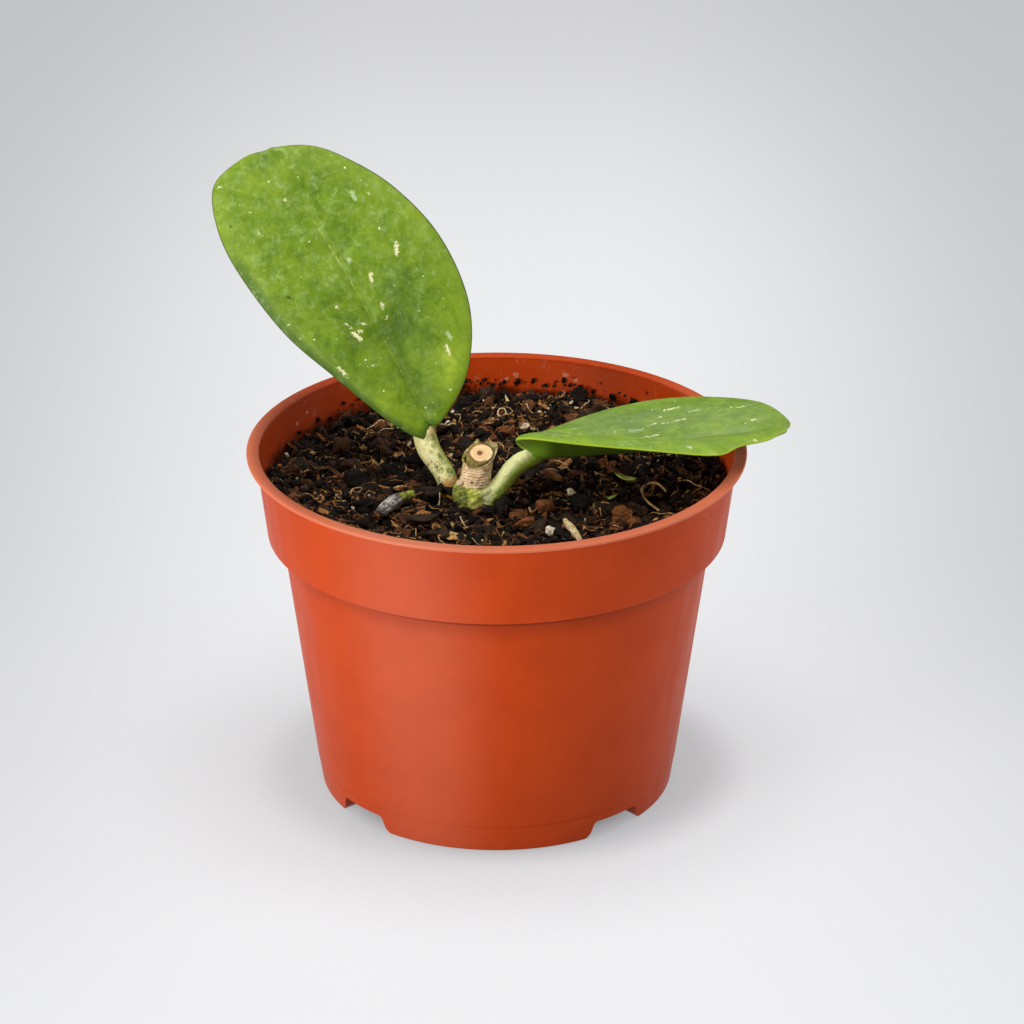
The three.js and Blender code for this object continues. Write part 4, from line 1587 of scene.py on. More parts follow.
@dataclass(frozen=True)
class Fleck:
    """A mark between two places, each a share along the blade and of the half width, and its width in mm."""

    start: Pair
    end: Pair
    width: float
    tone: Tone = Tone.CREAM


class Layer(Enum):
    """What a zone changes, named for the value of the mesh that holds it."""

    GREEN = "zone"  # shifts the green
    SHEEN = "veil"  # lays a grey sheen over it


@dataclass(frozen=True)
class Zone:
    """A region that is lighter (above 0) or darker along a line between two places, with its reach in mm."""

    start: Pair
    end: Pair
    reach: float
    amount: float
    layer: Layer = Layer.GREEN


def flecks(tone: Tone, *rows: tuple[float, ...]) -> tuple[Fleck, ...]:
    """Marks of one tone from rows of start, end and width."""
    return tuple(Fleck(row[:2], row[2:4], row[4], tone) for row in rows)


def zones(layer: Layer, *rows: tuple[float, ...]) -> tuple[Zone, ...]:
    """Zones of one layer from rows of start, end, reach and amount."""
    return tuple(Zone(row[:2], row[2:4], row[4], row[5], layer) for row in rows)


@dataclass(frozen=True)
class Half:
    """One half of a blade: its margin as station and half width in mm, its fold and its curl in degrees."""

    margin: tuple[Pair, ...]
    fold: tuple[float, ...]
    curl: tuple[float, ...]


@dataclass
class Blade:
    """A thick blade, given as in the solids by its midrib and the margin, fold and curl of each half."""

    name: str
    node: str
    base: Point
    tip: Point
    bow: Point
    face: Point
    roll: tuple[float, ...]
    left: Half
    right: Half
    skin: LeafSkin
    flecks: tuple[Fleck, ...]
    zones: tuple[Zone, ...]
    thickness: float = 2.0
    rib_share: float = 0.3
    rows: int = 230
    columns: int = 64
    pucker: float = 0.1
    seed: int = 1

    def station(self, sign: int, u: Array, v: Array) -> tuple[Array, Array]:
        """Where a place of the blade lies on its flat sheet.

        Args:
            sign: -1 for the left half, 1 for the right.
            u: Shares along.
            v: Shares of the half width.

        Returns:
            The station and the half width there, in mm.
        """
        half = self.right if sign > 0 else self.left
        margin = np.array(half.margin)
        length = np.linalg.norm(np.subtract(self.tip, self.base))
        rib = length * (1 - np.cos(np.pi * u)) / 2
        return rib + (spline(margin[:, 0], u) - rib) * v ** 1.5, spline(margin[:, 1], u)

    def point(self, sign: int, u: Array, v: Array, lift: Array) -> Array:
        """Places on the blade in mm.

        Args:
            sign: -1 for the left half, 1 for the right.
            u: Shares along.
            v: Shares of the half width.
            lift: Height above the middle sheet.

        Returns:
            One row for each entry.
        """
        half = self.right if sign > 0 else self.left
        fold, curl = (np.radians(spline(np.array(values), u)) for values in (half.fold, half.curl))
        station, width = self.station(sign, u, v)

        def lean(share: Array) -> Array:
            """Angle of the sheet at a share of the half width."""
            return fold * smoothstep(share, 0, self.rib_share) + curl * share

        slices = 24
        steps = [lean(v * (k + 0.5) / slices) for k in range(slices)]
        across = sum(np.cos(step) for step in steps) * v / slices
        rise = sum(np.sin(step) for step in steps) * v / slices
        base, chord, bow = np.array(self.base), np.subtract(self.tip, self.base), np.array(self.bow)
        share = (station / np.linalg.norm(chord))[:, None]
        middle = base + chord * share + 4 * share * (1 - share) * bow
        forward = unit(chord + 4 * (1 - 2 * share) * bow)
        face = np.array(self.face) - (forward @ np.array(self.face))[:, None] * forward
        face = unit(face)
        aside = np.cross(forward, face)
        roll = np.radians(spline(np.array(self.roll), np.clip(share[:, 0], 0, 1)))[:, None]
        aside, face = aside * np.cos(roll) + face * np.sin(roll), face * np.cos(roll) - aside * np.sin(roll)
        angle = lean(v)
        sideways = sign * (width * across - lift * np.sin(angle))
        return middle + aside * sideways[:, None] + face * (width * rise + lift * np.cos(angle))[:, None]

    def away(self, sheet: Array, start: Pair, end: Pair) -> Array:
        """Distance from a line on the sheet.

        Args:
            sheet: Places as rows of station and distance aside.
            start: Share along and of the half width.
            end: The same of its other end.

        Returns:
            The distances in mm.
        """
        ends = []
        for u, v in (start, end):
            station, width = self.station(1 if v > 0 else -1, np.array([u]), np.array([abs(v)]))
            ends.append(np.array([station[0], width[0] * v]))
        way = ends[1] - ends[0]
        share = np.clip((sheet - ends[0]) @ way / max(way @ way, 1e-6), 0, 1)
        return np.linalg.norm(sheet - ends[0] - share[:, None] * way, axis=1)

    def marks(self, sheet: Array) -> dict[str, Array]:
        """Named values of the marks and zones.

        Args:
            sheet: Places as rows of station and distance aside.

        Returns:
            Distance in mm from each kind of mark, below zero within one, and the strength of the zones.
        """
        fields = {tone.value: np.full(len(sheet), NO_MARK) for tone in Tone}
        for fleck in self.flecks:
            away = self.away(sheet, fleck.start, fleck.end) - 0.42 * fleck.width
            fields[fleck.tone.value] = np.minimum(fields[fleck.tone.value], away)
        layers = {layer.value: np.zeros(len(sheet)) for layer in Layer}
        for zone in self.zones:
            near = np.clip(1 - (self.away(sheet, zone.start, zone.end) / zone.reach) ** 2, 0, 1) ** 2
            layers[zone.layer.value] += zone.amount * near
        return {**fields, **layers}

    def build(self) -> list[Piece]:
        """Makes and dresses the blade.

        Returns:
            A list with the finished piece.
        """
        steps = np.linspace(0, 1, self.columns + 1)[1:]
        shares = 0.4 * steps + 0.6 * np.sin(np.pi / 2 * steps)
        shares = np.concatenate([-shares[::-1], [0.0], shares])
        rows = np.arange(1, self.rows) / self.rows
        u, v = (grid.ravel() for grid in np.meshgrid(rows, shares, indexing="ij"))
        ends = np.minimum(1, np.sin(np.pi * u) / np.where(u < 0.5, 0.2, 0.5))
        half_thickness = 0.5 * self.thickness * np.sqrt(ends)
        half_thickness *= np.sqrt(np.clip(1 - v ** 6, 0, 1))
        points, sheets, sides, edges, ribs = [], [], [], [], []
        for side in (1, -1):
            place, sheet = np.empty((len(u), 3)), np.empty((len(u), 2))
            for sign in (-1, 1):
                pick = (v < 0) if sign < 0 else (v >= 0)
                a, b = u[pick], np.abs(v[pick])
                station, width = self.station(sign, a, b)
                sheet[pick] = np.stack([station, sign * width * b], 1)
                flat = np.column_stack([sheet[pick], np.zeros(pick.sum())])
                wave = self.pucker * (ripple(flat, 11, self.seed) + 0.4 * ripple(flat, 4.5, self.seed + 1))
                room = np.sqrt(np.clip(1 - b ** 4, 0, 1)) * smoothstep(np.sin(np.pi * a), 0.1, 0.5)
                rib = smoothstep(a, 0.95, 0.5) * np.sin(np.pi * np.clip(a * 2.5, 0, 0.5))
                groove = (0.26 if side > 0 else 0.55) * np.exp(-(width * b / (0.9 if side > 0 else 1.3)) ** 2)
                lift = side * half_thickness[pick] + room * (wave - groove * rib)
                place[pick] = self.point(sign, a, b, lift)
            points.append(place)
            sheets.append(np.column_stack([sheet, np.full(len(u), SHEET_GAP * side)]))
            sides.append(np.full(len(u), float(side)))
            edges.append(np.abs(v))
            plain = smoothstep(u, 0.44, 0.52) * smoothstep(u, 0.68, 0.6)  # where the midrib shows most
            ribs.append(0.3 * smoothstep(u, 0.72, 0.6) + 0.6 * plain)
        across = len(shares)
        count = len(u)
        # the lower sheet shares the upper one's margin points
        lower = np.arange(count, 2 * count).reshape(-1, across)
        upper = np.arange(count).reshape(-1, across)
        lower[:, 0], lower[:, -1] = upper[:, 0], upper[:, -1]
        poles = [self.point(1, np.array([end]), np.array([0.0]), np.array([0.0]))[0] for end in (0.0, 1.0)]
        faces = []
        for grid, flip in ((upper, False), (lower, True)):
            quads = np.stack([grid[:-1, :-1], grid[1:, :-1], grid[1:, 1:], grid[:-1, 1:]], 2).reshape(-1, 4)
            faces.extend((quads[:, ::-1] if not flip else quads).tolist())
            for row, pole, ahead in ((grid[0], 2 * count, False), (grid[-1], 2 * count + 1, True)):
                fan = np.stack([row[:-1], row[1:], np.full(across - 1, pole)], 1)
                faces.extend((fan[:, ::-1] if flip != ahead else fan).tolist())
        place = np.concatenate([*points, np.array(poles)]) * MM
        far = spline(np.array(self.left.margin)[:, 0], np.array([1.0]))[0]
        sheet = np.concatenate([*sheets, [[0.0, 0.0, SHEET_GAP], [far, 0.0, SHEET_GAP]]])
        values = {"sheet": sheet,
                  "side": np.append(np.concatenate(sides), [1.0, 1.0]),
                  "edge": np.append(np.concatenate(edges), [1.0, 1.0]),
                  "ribbed": np.append(np.concatenate(ribs), [1.0, 0.0])}
        marks = self.marks(sheet[:, :2])
        upper_side = values["side"] > 0
        plain_values = {layer.value for layer in Layer}
        for label, rows in marks.items():
            values[label] = np.where(upper_side, rows, 0.0 if label in plain_values else NO_MARK)
        piece = drop_loose(Shape(place, faces, values)).build(self.name)
        return [seat(piece, self.skin.build(), "leaf_flesh", self.node)]


def drop_loose(shape: Shape) -> Shape:
    """Leaves out the points that no face uses.

    Args:
        shape: The shape.

    Returns:
        The shape without them.
    """
    used = np.zeros(len(shape.points), bool)
    for face in shape.faces:
        used[face] = True
    number = np.cumsum(used) - 1
    faces = [[int(number[corner]) for corner in face] for face in shape.faces]
    return Shape(shape.points[used], faces, {label: rows[used] for label, rows in shape.values.items()})


LEAF_LEFT = Blade(
    name="leaf_blade_left",
    node="leaf_left",
    base=(-16.0, 0, 92.5),
    tip=(-54.9, 30, 151.6),
    bow=(0.85, -2, 1.55),
    face=(0.05, -0.93, 0.37),
    roll=(0, 0, 0),
    left=Half(
        margin=((0, 0), (-2.3, 2.9), (5.2, 8.3), (21.5, 15), (36, 20), (53, 22), (66, 21), (76.5, 16),
                (78.5, 6.5), (76.8, 0)),
        fold=(24, 12, 4),
        curl=(-34, -22, -10),
    ),
    right=Half(
        margin=((0, 0), (-0.5, 3), (7, 14), (20.5, 22), (37.5, 24), (53.5, 20.5), (66, 14), (72.5, 8.5),
                (76.5, 1.5), (76.8, 0)),
        fold=(22, 10, 4),
        curl=(-12, -14, -10),
    ),
    skin=LeafSkin("leaf_skin_left", light=srgb(127, 152, 24), middle=srgb(101, 131, 12),
                  dark=srgb(77, 106, 10), margin=srgb(50, 68, 10), rolled_margin_shade=0.7),
    flecks=flecks(
        Tone.CREAM,
        (0.495, 0.62, 0.482, 0.55, 1.3), (0.492, 0.23, 0.480, 0.18, 1.1), (0.478, 0.18, 0.468, 0.15, 0.5),
        (0.660, -0.61, 0.648, -0.57, 0.6), (0.432, -0.32, 0.42, -0.3, 0.9), (0.41, -0.31, 0.39, -0.28, 1.3),
        (0.408, -0.24, 0.402, -0.20, 0.8), (0.422, -0.17, 0.413, -0.10, 0.6), (0.435, 0.16, 0.422, 0.15, 0.9),
        (0.408, 0.15, 0.402, 0.11, 0.6), (0.468, -0.29, 0.469, -0.29, 0.9), (0.325, -0.41, 0.325, -0.34, 0.6),
        (0.345, -0.82, 0.325, -0.82, 1.1), (0.288, 0.65, 0.272, 0.67, 1.2), (0.195, 0.74, 0.195, 0.75, 0.9),
        (0.152, 0.17, 0.153, 0.17, 0.9), (0.535, 0.59, 0.536, 0.59, 0.9), (0.588, 0.77, 0.589, 0.77, 0.9),
        (0.788, -0.27, 0.786, -0.27, 0.9), (0.708, -0.61, 0.709, -0.61, 0.8),
        (0.732, -0.68, 0.733, -0.68, 0.9), (0.78, -0.92, 0.78, -0.91, 0.9), (0.725, -0.19, 0.725, -0.15, 0.7),
    ) + flecks(
        Tone.FAINT,
        (0.540, 0.11, 0.541, 0.11, 1.3), (0.310, 0.68, 0.298, 0.71, 0.8), (0.618, 0.67, 0.605, 0.62, 0.8),
    ) + flecks(
        Tone.DARK,
        (0.510, -0.69, 0.508, -0.68, 0.8), (0.680, -0.85, 0.681, -0.85, 0.6),
    ),
    zones=zones(
        Layer.GREEN,
        (0.43, 0.39, 0.36, 0.3, 9, -1.0), (0.375, 0.15, 0.2, 0.1, 6, -0.6),
        (0.485, -0.31, 0.3, -0.25, 8, -0.4), (0.27, 0.7, 0.2, 0.72, 5.5, 1.3),
        # painted sheen: the lighter zone on the lobe at the lower left, near the base
        (0.308, 0.78, 0.36, 0.86, 6, 0.6), (0.252, -0.68, 0.15, -0.55, 5.5, 0.9),
        (0.612, -0.97, 0.7, -0.97, 5, 0.6), (0.495, 1.0, 0.6, 1.0, 7, 0.5), (0.81, 0.47, 0.77, -0.67, 8, 0.3),
        # painted shade along the left margin near the base, where it rolls away from the light
        (0.0, -1.0, 0.1, -1.0, 2.6, -2.2), (0.1, -1.0, 0.2, -1.0, 2.6, -1.8),
        (0.2, -1.0, 0.31, -1.0, 2.4, -1.8), (0.31, -1.0, 0.44, -1.0, 2.2, -1.6),
        (0.0, 1.0, 0.08, 1.0, 2.2, -1.0),
    ),
    seed=3,
)

LEAF_RIGHT = Blade(
    name="leaf_blade_right",
    node="leaf_right",
    base=(8.15, -9, 89.1),
    tip=(69.35, -2, 92.35),
    bow=(0, -0.6, -0.4),
    face=(0, 0, 1),
    roll=(7, 3, 0),
    left=Half(
        margin=((0, 0), (-3, 6.5), (4.5, 11), (15.5, 17.5), (28.5, 21), (41.5, 20.5), (54, 16), (60, 11),
                (63, 3), (61.7, 0)),
        fold=(43, 29, 19, 14, 10),
        curl=(-44, -31, -15, -7, -4),
    ),
    right=Half(
        margin=((0, 0), (-4.0, 9.9), (1.5, 15.5), (13.5, 17), (29.5, 20), (41.5, 21), (48, 13.5),
                (54.5, 12.5), (57, 11), (60.5, 5.5), (61.7, 0)),
        fold=(115, 92, 51, 36, 30),
        curl=(-102, -107, -66, -30, 0),
    ),
    skin=LeafSkin("leaf_skin_right", light=srgb(140, 170, 40), middle=srgb(114, 147, 34),
                  # painted shade: the underside of this blade is made dark
                  dark=srgb(90, 126, 28), margin=srgb(164, 186, 30), underside_and_shade=srgb(42, 60, 2),
                  haze=0.25, roughness=0.4, edge=0.15, streaks=0.5),
    flecks=flecks(
        Tone.CREAM,
        (0.512, -0.64, 0.542, -0.7, 0.9), (0.5, -0.51, 0.51, -0.53, 0.8), (0.508, -0.36, 0.565, -0.45, 0.6),
        (0.475, -0.34, 0.498, -0.4, 0.6), (0.452, -0.08, 0.472, -0.14, 0.9),
        (0.475, -0.11, 0.503, -0.15, 0.7), (0.675, -0.71, 0.715, -0.81, 0.7),
        (0.75, -0.35, 0.763, -0.4, 0.9), (0.46, 0.88, 0.462, 0.9, 1.0),
        (0.662, 0.95, 0.662, 0.97, 0.8), (0.585, 0.07, 0.586, 0.09, 0.7), (0.640, -0.10, 0.645, -0.10, 0.7),
        (0.660, -0.71, 0.661, -0.71, 0.7),
    ) + flecks(
        Tone.FAINT,
        (0.570, -0.58, 0.590, -0.62, 0.7), (0.430, -0.29, 0.460, -0.29, 0.8),
    ),
    zones=zones(
        Layer.GREEN,
        # painted light: the lighter band along the near margin, on the crest of its roll
        (0.3, -0.7, 0.7, -0.8, 8, -0.6), (0.05, 0.85, 0.5, 0.85, 5, 0.8), (0.5, 0.85, 0.8, 0.6, 6, 0.3),
    ) + zones(
        Layer.SHEEN,
        (0.2, -0.2, 0.5, 0.12, 4, 0.5), (0.5, 0.12, 0.72, 0.05, 5, 0.3), (0.35, -0.6, 0.75, -0.5, 9, 0.15),
    ),
    seed=8,
)


# ---------------------------------------------------------------- stem and petioles


@dataclass
class Petiole:
    """A leaf stalk through places and radii in mm, from the node to the underside of its blade."""

    name: str
    node: str
    points: tuple[Bead, ...]
    skin: StalkSkin
    flat: float  # how much narrower it is one way, as a share
    dirt: float
    seed: int
    # the side whose skin is painted in shade
    shaded_side: Point = (0.75, -0.2, -0.6)
    knob: Lobe | None = None  # swollen end: middle and half sizes
    rows: int = 150
    sides: int = 64

    def build(self) -> list[Piece]:
        """Makes and dresses the petiole.

        Returns:
            A list with the finished piece.
        """
        shares = np.linspace(0, 1, self.rows)
        line = spline(np.array(self.points), shares)

        def relief(along: Array, angle: Array) -> Array:
            """Change of the radius."""
            ring = np.stack([np.cos(angle), np.sin(angle), 7 * along], -1).reshape(-1, 3)
            lumps = ripple(ring, 1.6, self.seed).reshape(along.shape)
            fine = ripple(ring * [3, 3, 2], 1.2, self.seed + 1).reshape(along.shape)
            oval = self.flat * np.cos(2 * angle + 0.6)
            return (0.13 * lumps + 0.04 * fine + oval) * MM

        shape = tube(line[:, :3] * MM, line[:, 3] * MM, self.sides, relief)
        along = shape.values["along"]
        path = np.concatenate([np.repeat(line[:, :3], self.sides, axis=0), line[[0, -1], :3]]) * MM
        outward = (shape.points - path) / np.append(np.repeat(line[:, 3], self.sides), [1, 1])[:, None] / MM
        shape.values["shade"] = 0.5 + 0.5 * outward @ unit(np.array(self.shaded_side, float))
        shape.values["algae"] = self.dirt * smoothstep(along, 0.8, 0.3)
        del shape.values["turn"]
        if self.knob:
            cube, faces = TEMPLATES[FINE_CUTS]
            ball = unit(cube)
            swell = ball * np.array(self.knob[3:]) * (1 + 0.06 * ripple(ball, 0.8, self.seed + 3)[:, None])
            values = {
                "along": 0.87 + 0.12 * ball[:, 2],
                "shade": 0.3 + 0.3 * ball[:, 0],
                "algae": np.full(len(ball), 0.4 * self.dirt),
            }
            shape = join([shape, Shape((swell + np.array(self.knob[:3])) * MM, faces, values)])
        return [seat(shape.build(self.name), self.skin.build(), "petiole_flesh", self.node)]


@dataclass
class CutStem:
    """The stump: pale cut core, torn papery sleeve, swollen node and the buried part with its roots."""

    axis: tuple[Bead, ...] = (
        (-7.4, -14.6, 50, 1.5), (-6.9, -14.1, 64, 2.4), (-6.3, -13.6, 76.5, 3.9), (-5.9, -13.2, 81.5, 3.6),
        (-5.1, -12.7, 86, 2.9), (-3.6, -11.7, 93, 2.6),
    )
    core_radius: float = 3.0
    cut_point: Point = (-4.1, -12.0, 90.1)
    cut_tilt: float = 23.0  # degrees towards the front
    pith: Pair = (-0.3, 0.1)
    sleeve_foot: Point = (-5.3, -12.7, 83.1)
    sleeve_mouth: Point = (-4.2, -12.0, 89.6)
    lobes: tuple[Lobe, ...] = (
        (-8.7, -14.0, 80.6, 1.8, 2.2, 3.7), (-5.2, -15.4, 79.9, 2.6, 2.2, 3.6),
        (-2.9, -14.4, 80.1, 2.3, 2.2, 2.9), (-7.0, -10.8, 79.8, 2.6, 2.4, 2.8),
        (-5.3, -12.7, 82.7, 4.0, 3.8, 1.2),
    )  # middle and half sizes of the swellings of the node
    root_count: int = 5
    seed: int = 5

    def core(self) -> Piece:
        """Makes the cut core, whose top ring lies in the cut.

        Returns:
            The finished piece.
        """
        rows, sides, rings = 60, 72, 14
        foot, mouth = np.array(self.sleeve_foot), np.array(self.sleeve_mouth)
        path = (foot + (mouth - foot) * np.linspace(-0.2, 1.5, rows)[:, None]) * MM
        radii = np.full(rows, self.core_radius * MM)
        tilt = math.radians(self.cut_tilt)
        normal = np.array([0, -math.sin(tilt), math.cos(tilt)])
        cut = np.array(self.cut_point) * MM

        def relief(along: Array, angle: Array) -> Array:
            """Change of the radius."""
            ring = np.stack([np.cos(angle), np.sin(angle), 5 * along], -1).reshape(-1, 3)
            return 0.07 * MM * ripple(ring, 1.1, self.seed).reshape(along.shape)

        shape = tube(path, radii, sides, relief)
        wall = shape.points[:-2].reshape(rows, sides, 3)
        above = np.maximum((wall - cut) @ normal, 0)
        wall = wall - np.array([0, 0, 1.0]) * (above / normal[2])[..., None]
        rim = wall[-1]
        centre = rim.mean(0)
        caps = [centre + (rim - centre) * (1 - (k / rings)) for k in range(1, rings)]
        lower = ringed(np.concatenate([wall, np.array(caps)]), (wall[0].mean(0), centre))
        across = lower.points - centre
        uphill = (across @ np.array([0, math.cos(tilt), math.sin(tilt)])) / MM - self.pith[1]
        from_pith = np.hypot(across[:, 0] / MM - self.pith[0], uphill) / self.core_radius
        in_cut = np.arange(rows + rings - 1) >= rows - 1
        face = np.append(np.repeat(in_cut, sides), [False, True]).astype(float)
        shrink = np.append(np.ones(rows), 1 - np.arange(1, rings) / rings)
        rim_share = np.append(np.repeat(shrink, sides), [1.0, 0.0])
        ring = np.where(rim_share > 0.75, np.maximum(rim_share, from_pith * 0.8), np.minimum(from_pith, 0.86))
        lower.values = {"ring": ring, "face": face}
        return seat(lower.build("stem_cut_core"), CutWood().build(), "stem_bark", "stem")

    def sleeve(self) -> Piece:
        """Makes the dry bark round the core: wrinkled in front, torn and curled at its upper edge.

        Returns:
            The finished piece.
        """
        around, up = 180, 84
        angle = 2 * np.pi * np.arange(around) / around  # 0 is the front, turning to the right
        behind = (1 - np.cos(angle - 0.35)) / 2
        flat = np.stack([np.cos(angle), np.sin(angle), 0 * angle], 1)
        ragged = 0.3 * ripple(flat, 0.7, 21) + 0.14 * ripple(flat, 0.26, 22)
        foot, mouth = np.array(self.sleeve_foot), np.array(self.sleeve_mouth)
        low = foot[2]
        top = mouth[2] - 1.7 * np.cos(angle) + 0.5 * np.sin(angle) + ragged * (0.35 + 0.8 * behind)
        rise = np.linspace(0, 1, up)[:, None]
        z = low + (top[None, :] - low) * rise
        flap = np.exp(-((angle - 2.3) / 0.5) ** 2)[None] * smoothstep(rise, 0.45, 1.0)
        lip = smoothstep(rise, 0.9, 1.0) * (0.1 + 0.3 * behind)
        out = 3.72 - 0.42 * rise + 0.45 * behind * rise ** 2 + 1.3 * flap + lip
        turned_to = (np.cos(angle)[None] + 0 * z, np.sin(angle)[None] + 0 * z)
        spot = np.stack([*turned_to, (z - low) / 2.2], -1).reshape(-1, 3)
        slant = 0.5 * np.abs(np.sin(angle / 2 + 0.3))[None] + 0.07 * ripple(spot, 1.5, 23).reshape(z.shape)
        wave = np.abs(np.sin(np.pi * (z + slant) / 0.66)) ** 0.6
        front = 0.25 + 0.75 * (1 - behind)[None]
        depth = front * smoothstep(rise, 0.0, 0.08) * (1 + 0.5 * ripple(spot, 0.9, 25).reshape(z.shape))
        out = out + 0.12 * (wave - 0.6) * depth + 0.06 * ripple(spot, 0.8, 24).reshape(z.shape)
        thick = 0.3 + 0.15 * behind[None] * smoothstep(rise, 0.7, 1.0)

        def skin(radius: Array, height: Array) -> Array:
            """Places round the leaning axis."""
            share = (height - foot[2]) / (mouth[2] - foot[2])
            return np.stack([foot[0] + (mouth[0] - foot[0]) * share + radius * np.sin(angle),
                             foot[1] + (mouth[1] - foot[1]) * share - radius * np.cos(angle), height], -1)

        rings = np.concatenate([skin(out, z), skin(out - thick, z)[::-1]])
        shape = ringed(rings, (rings[0].mean(0), rings[-1].mean(0)))
        # the two ends meet in the sleeve's lower edge instead of in poles
        last = len(rings) - 1
        ends = (len(shape.points) - 2, len(shape.points) - 1)
        shape.faces = [face for face in shape.faces if not set(ends) & set(face)]
        corner = np.arange(around)
        after = (corner + 1) % around
        seam = np.stack([last * around + corner, last * around + after, after, corner], 1)
        shape.faces.extend(seam.tolist())
        shape.points = shape.points[:-2] * MM
        behind_all = np.tile(behind, len(rings))
        height = np.concatenate([z, z[::-1]]).ravel()
        share = np.concatenate([rise + 0 * z, (rise + 0 * z)[::-1]]).ravel()
        olive = np.clip(smoothstep(behind_all, 0.3, 0.75) * 0.95 + 0.4 * smoothstep(share, 0.93, 1.0), 0, 1)
        fold = np.concatenate([wave + 0.3 * (1 - front), np.ones_like(wave)]).ravel()
        shape.values = {"olive": olive, "moss": 0.8 * smoothstep(height, 83.6, 82.2), "fold": fold}
        return seat(shape.build("stem_bark_sleeve"), Papery().build(), "stem_bark", "stem")

    def swelling(self) -> Piece:
        """Makes the swollen node at the soil with the buried stem and roots, grown together.

        Returns:
            The finished piece.
        """
        line = spline(np.array(self.axis), np.linspace(0, 0.66, 50))
        parts = [tube(line[:, :3] * MM, line[:, 3] * MM, 32)]
        cube, faces = TEMPLATES[6]
        for x, y, z, a, b, c in self.lobes:
            ball = unit(cube) * np.array([a, b, c]) * MM + np.array([x, y, z]) * MM
            parts.append(Shape(ball, faces))
        rng = np.random.default_rng(self.seed)
        for k in range(self.root_count):
            azimuth = 2 * math.pi * (k + 0.5 * rng.uniform()) / self.root_count
            share = np.linspace(0, 1, 24)
            turn = azimuth + 0.5 * share
            path = np.stack([-7 + 27 * share * np.cos(turn), -14 + 27 * share * np.sin(turn),
                             72 - 3.2 * k - 24 * share ** 1.2], 1) * MM
            parts.append(tube(path, (1.1 - 0.65 * share) * MM, 10))
        for part in parts:
            part.values = {}
        piece = join(parts).build("stem_node")
        remesh = piece.modifiers.new("grow", "REMESH")
        remesh.mode = "VOXEL"
        remesh.voxel_size = 0.22 * MM
        remesh.use_smooth_shade = True
        blur = piece.modifiers.new("blur", "SMOOTH")
        blur.iterations = 6
        settle(piece)
        mesh = piece.data
        place = read(mesh) / MM
        rough = 0.13 * ripple(place, 1.3, 31) + 0.06 * ripple(place, 0.5, 32)
        rough *= smoothstep(place[:, 2], 74, 77)
        mesh.vertices.foreach_set("co", ((place + read(mesh, "normal") * rough[:, None]) * MM).ravel())
        return seat(piece, NodeSkin().build(), "stem_bark", "stem")

    def build(self) -> list[Piece]:
        """Makes the whole stem."""
        return [self.core(), self.sleeve(), self.swelling()]


@dataclass(frozen=True)
class NodeSkin:
    """Yellow-green living skin of the node, pale on its crowns, darker in its groove and mossy on its left.
    """

    name: str = "node_skin"

    def build(self) -> bpy.types.Material:
        """Makes the material.

        Returns:
            The material.
        """
        g = Graph(self.name)
        at = g.place()
        cloud = g.noise(at, 0.0019, 4, 0.6, 0.4)
        fine = g.noise(at, 0.0006, 4, 0.7)
        greens = [(0.34, srgb(136, 146, 36)), (0.5, srgb(190, 196, 72)), (0.64, srgb(224, 220, 132))]
        colour = g.ramp(cloud, greens)
        groove = g.away(g.stretch(at, (1, 1, 0.45)), metres(-7.6, -16.4, 36.0))
        groove = g.fall(groove, 0.5 * MM, 1.5 * MM)
        dark = g.math("MAXIMUM", g.product(groove, 0.85), g.fade(fine, 0.56, 0.68, 0.0, 0.5))
        colour = g.mix(dark, colour, g.mix(g.fade(fine, 0.4, 0.6), srgb(26, 32, 8), srgb(78, 98, 20)))
        height, aside = g.part(at, 2), g.blend((g.part(at, 0), 1.0), (cloud, 0.001))
        mossy = g.mix(g.fade(fine, 0.4, 0.6), srgb(62, 76, 14), srgb(150, 158, 62))
        colour = g.mix(g.fall(aside, -0.0072, -0.0062, 0.8), colour, mossy)
        colour = g.mix(g.fade(aside, -0.0036, -0.0022, 0.0, 0.8), colour, srgb(222, 222, 164))
        soil_line = g.fall(g.math("ADD", height, g.product(cloud, 0.002)), 0.0783, 0.0802)
        colour = g.mix(g.product(soil_line, 0.85), colour, srgb(124, 84, 40))
        bark = g.fade(g.math("ADD", height, g.product(fine, 0.001)), 0.0836, 0.0844)
        colour = g.mix(bark, colour, srgb(212, 186, 150))
        bumps = g.math("ADD", cloud, g.product(fine, 0.6))
        return g.finish(colour, 0.55, g.bump(bumps, 0.0005), Specular_IOR_Level=0.4)


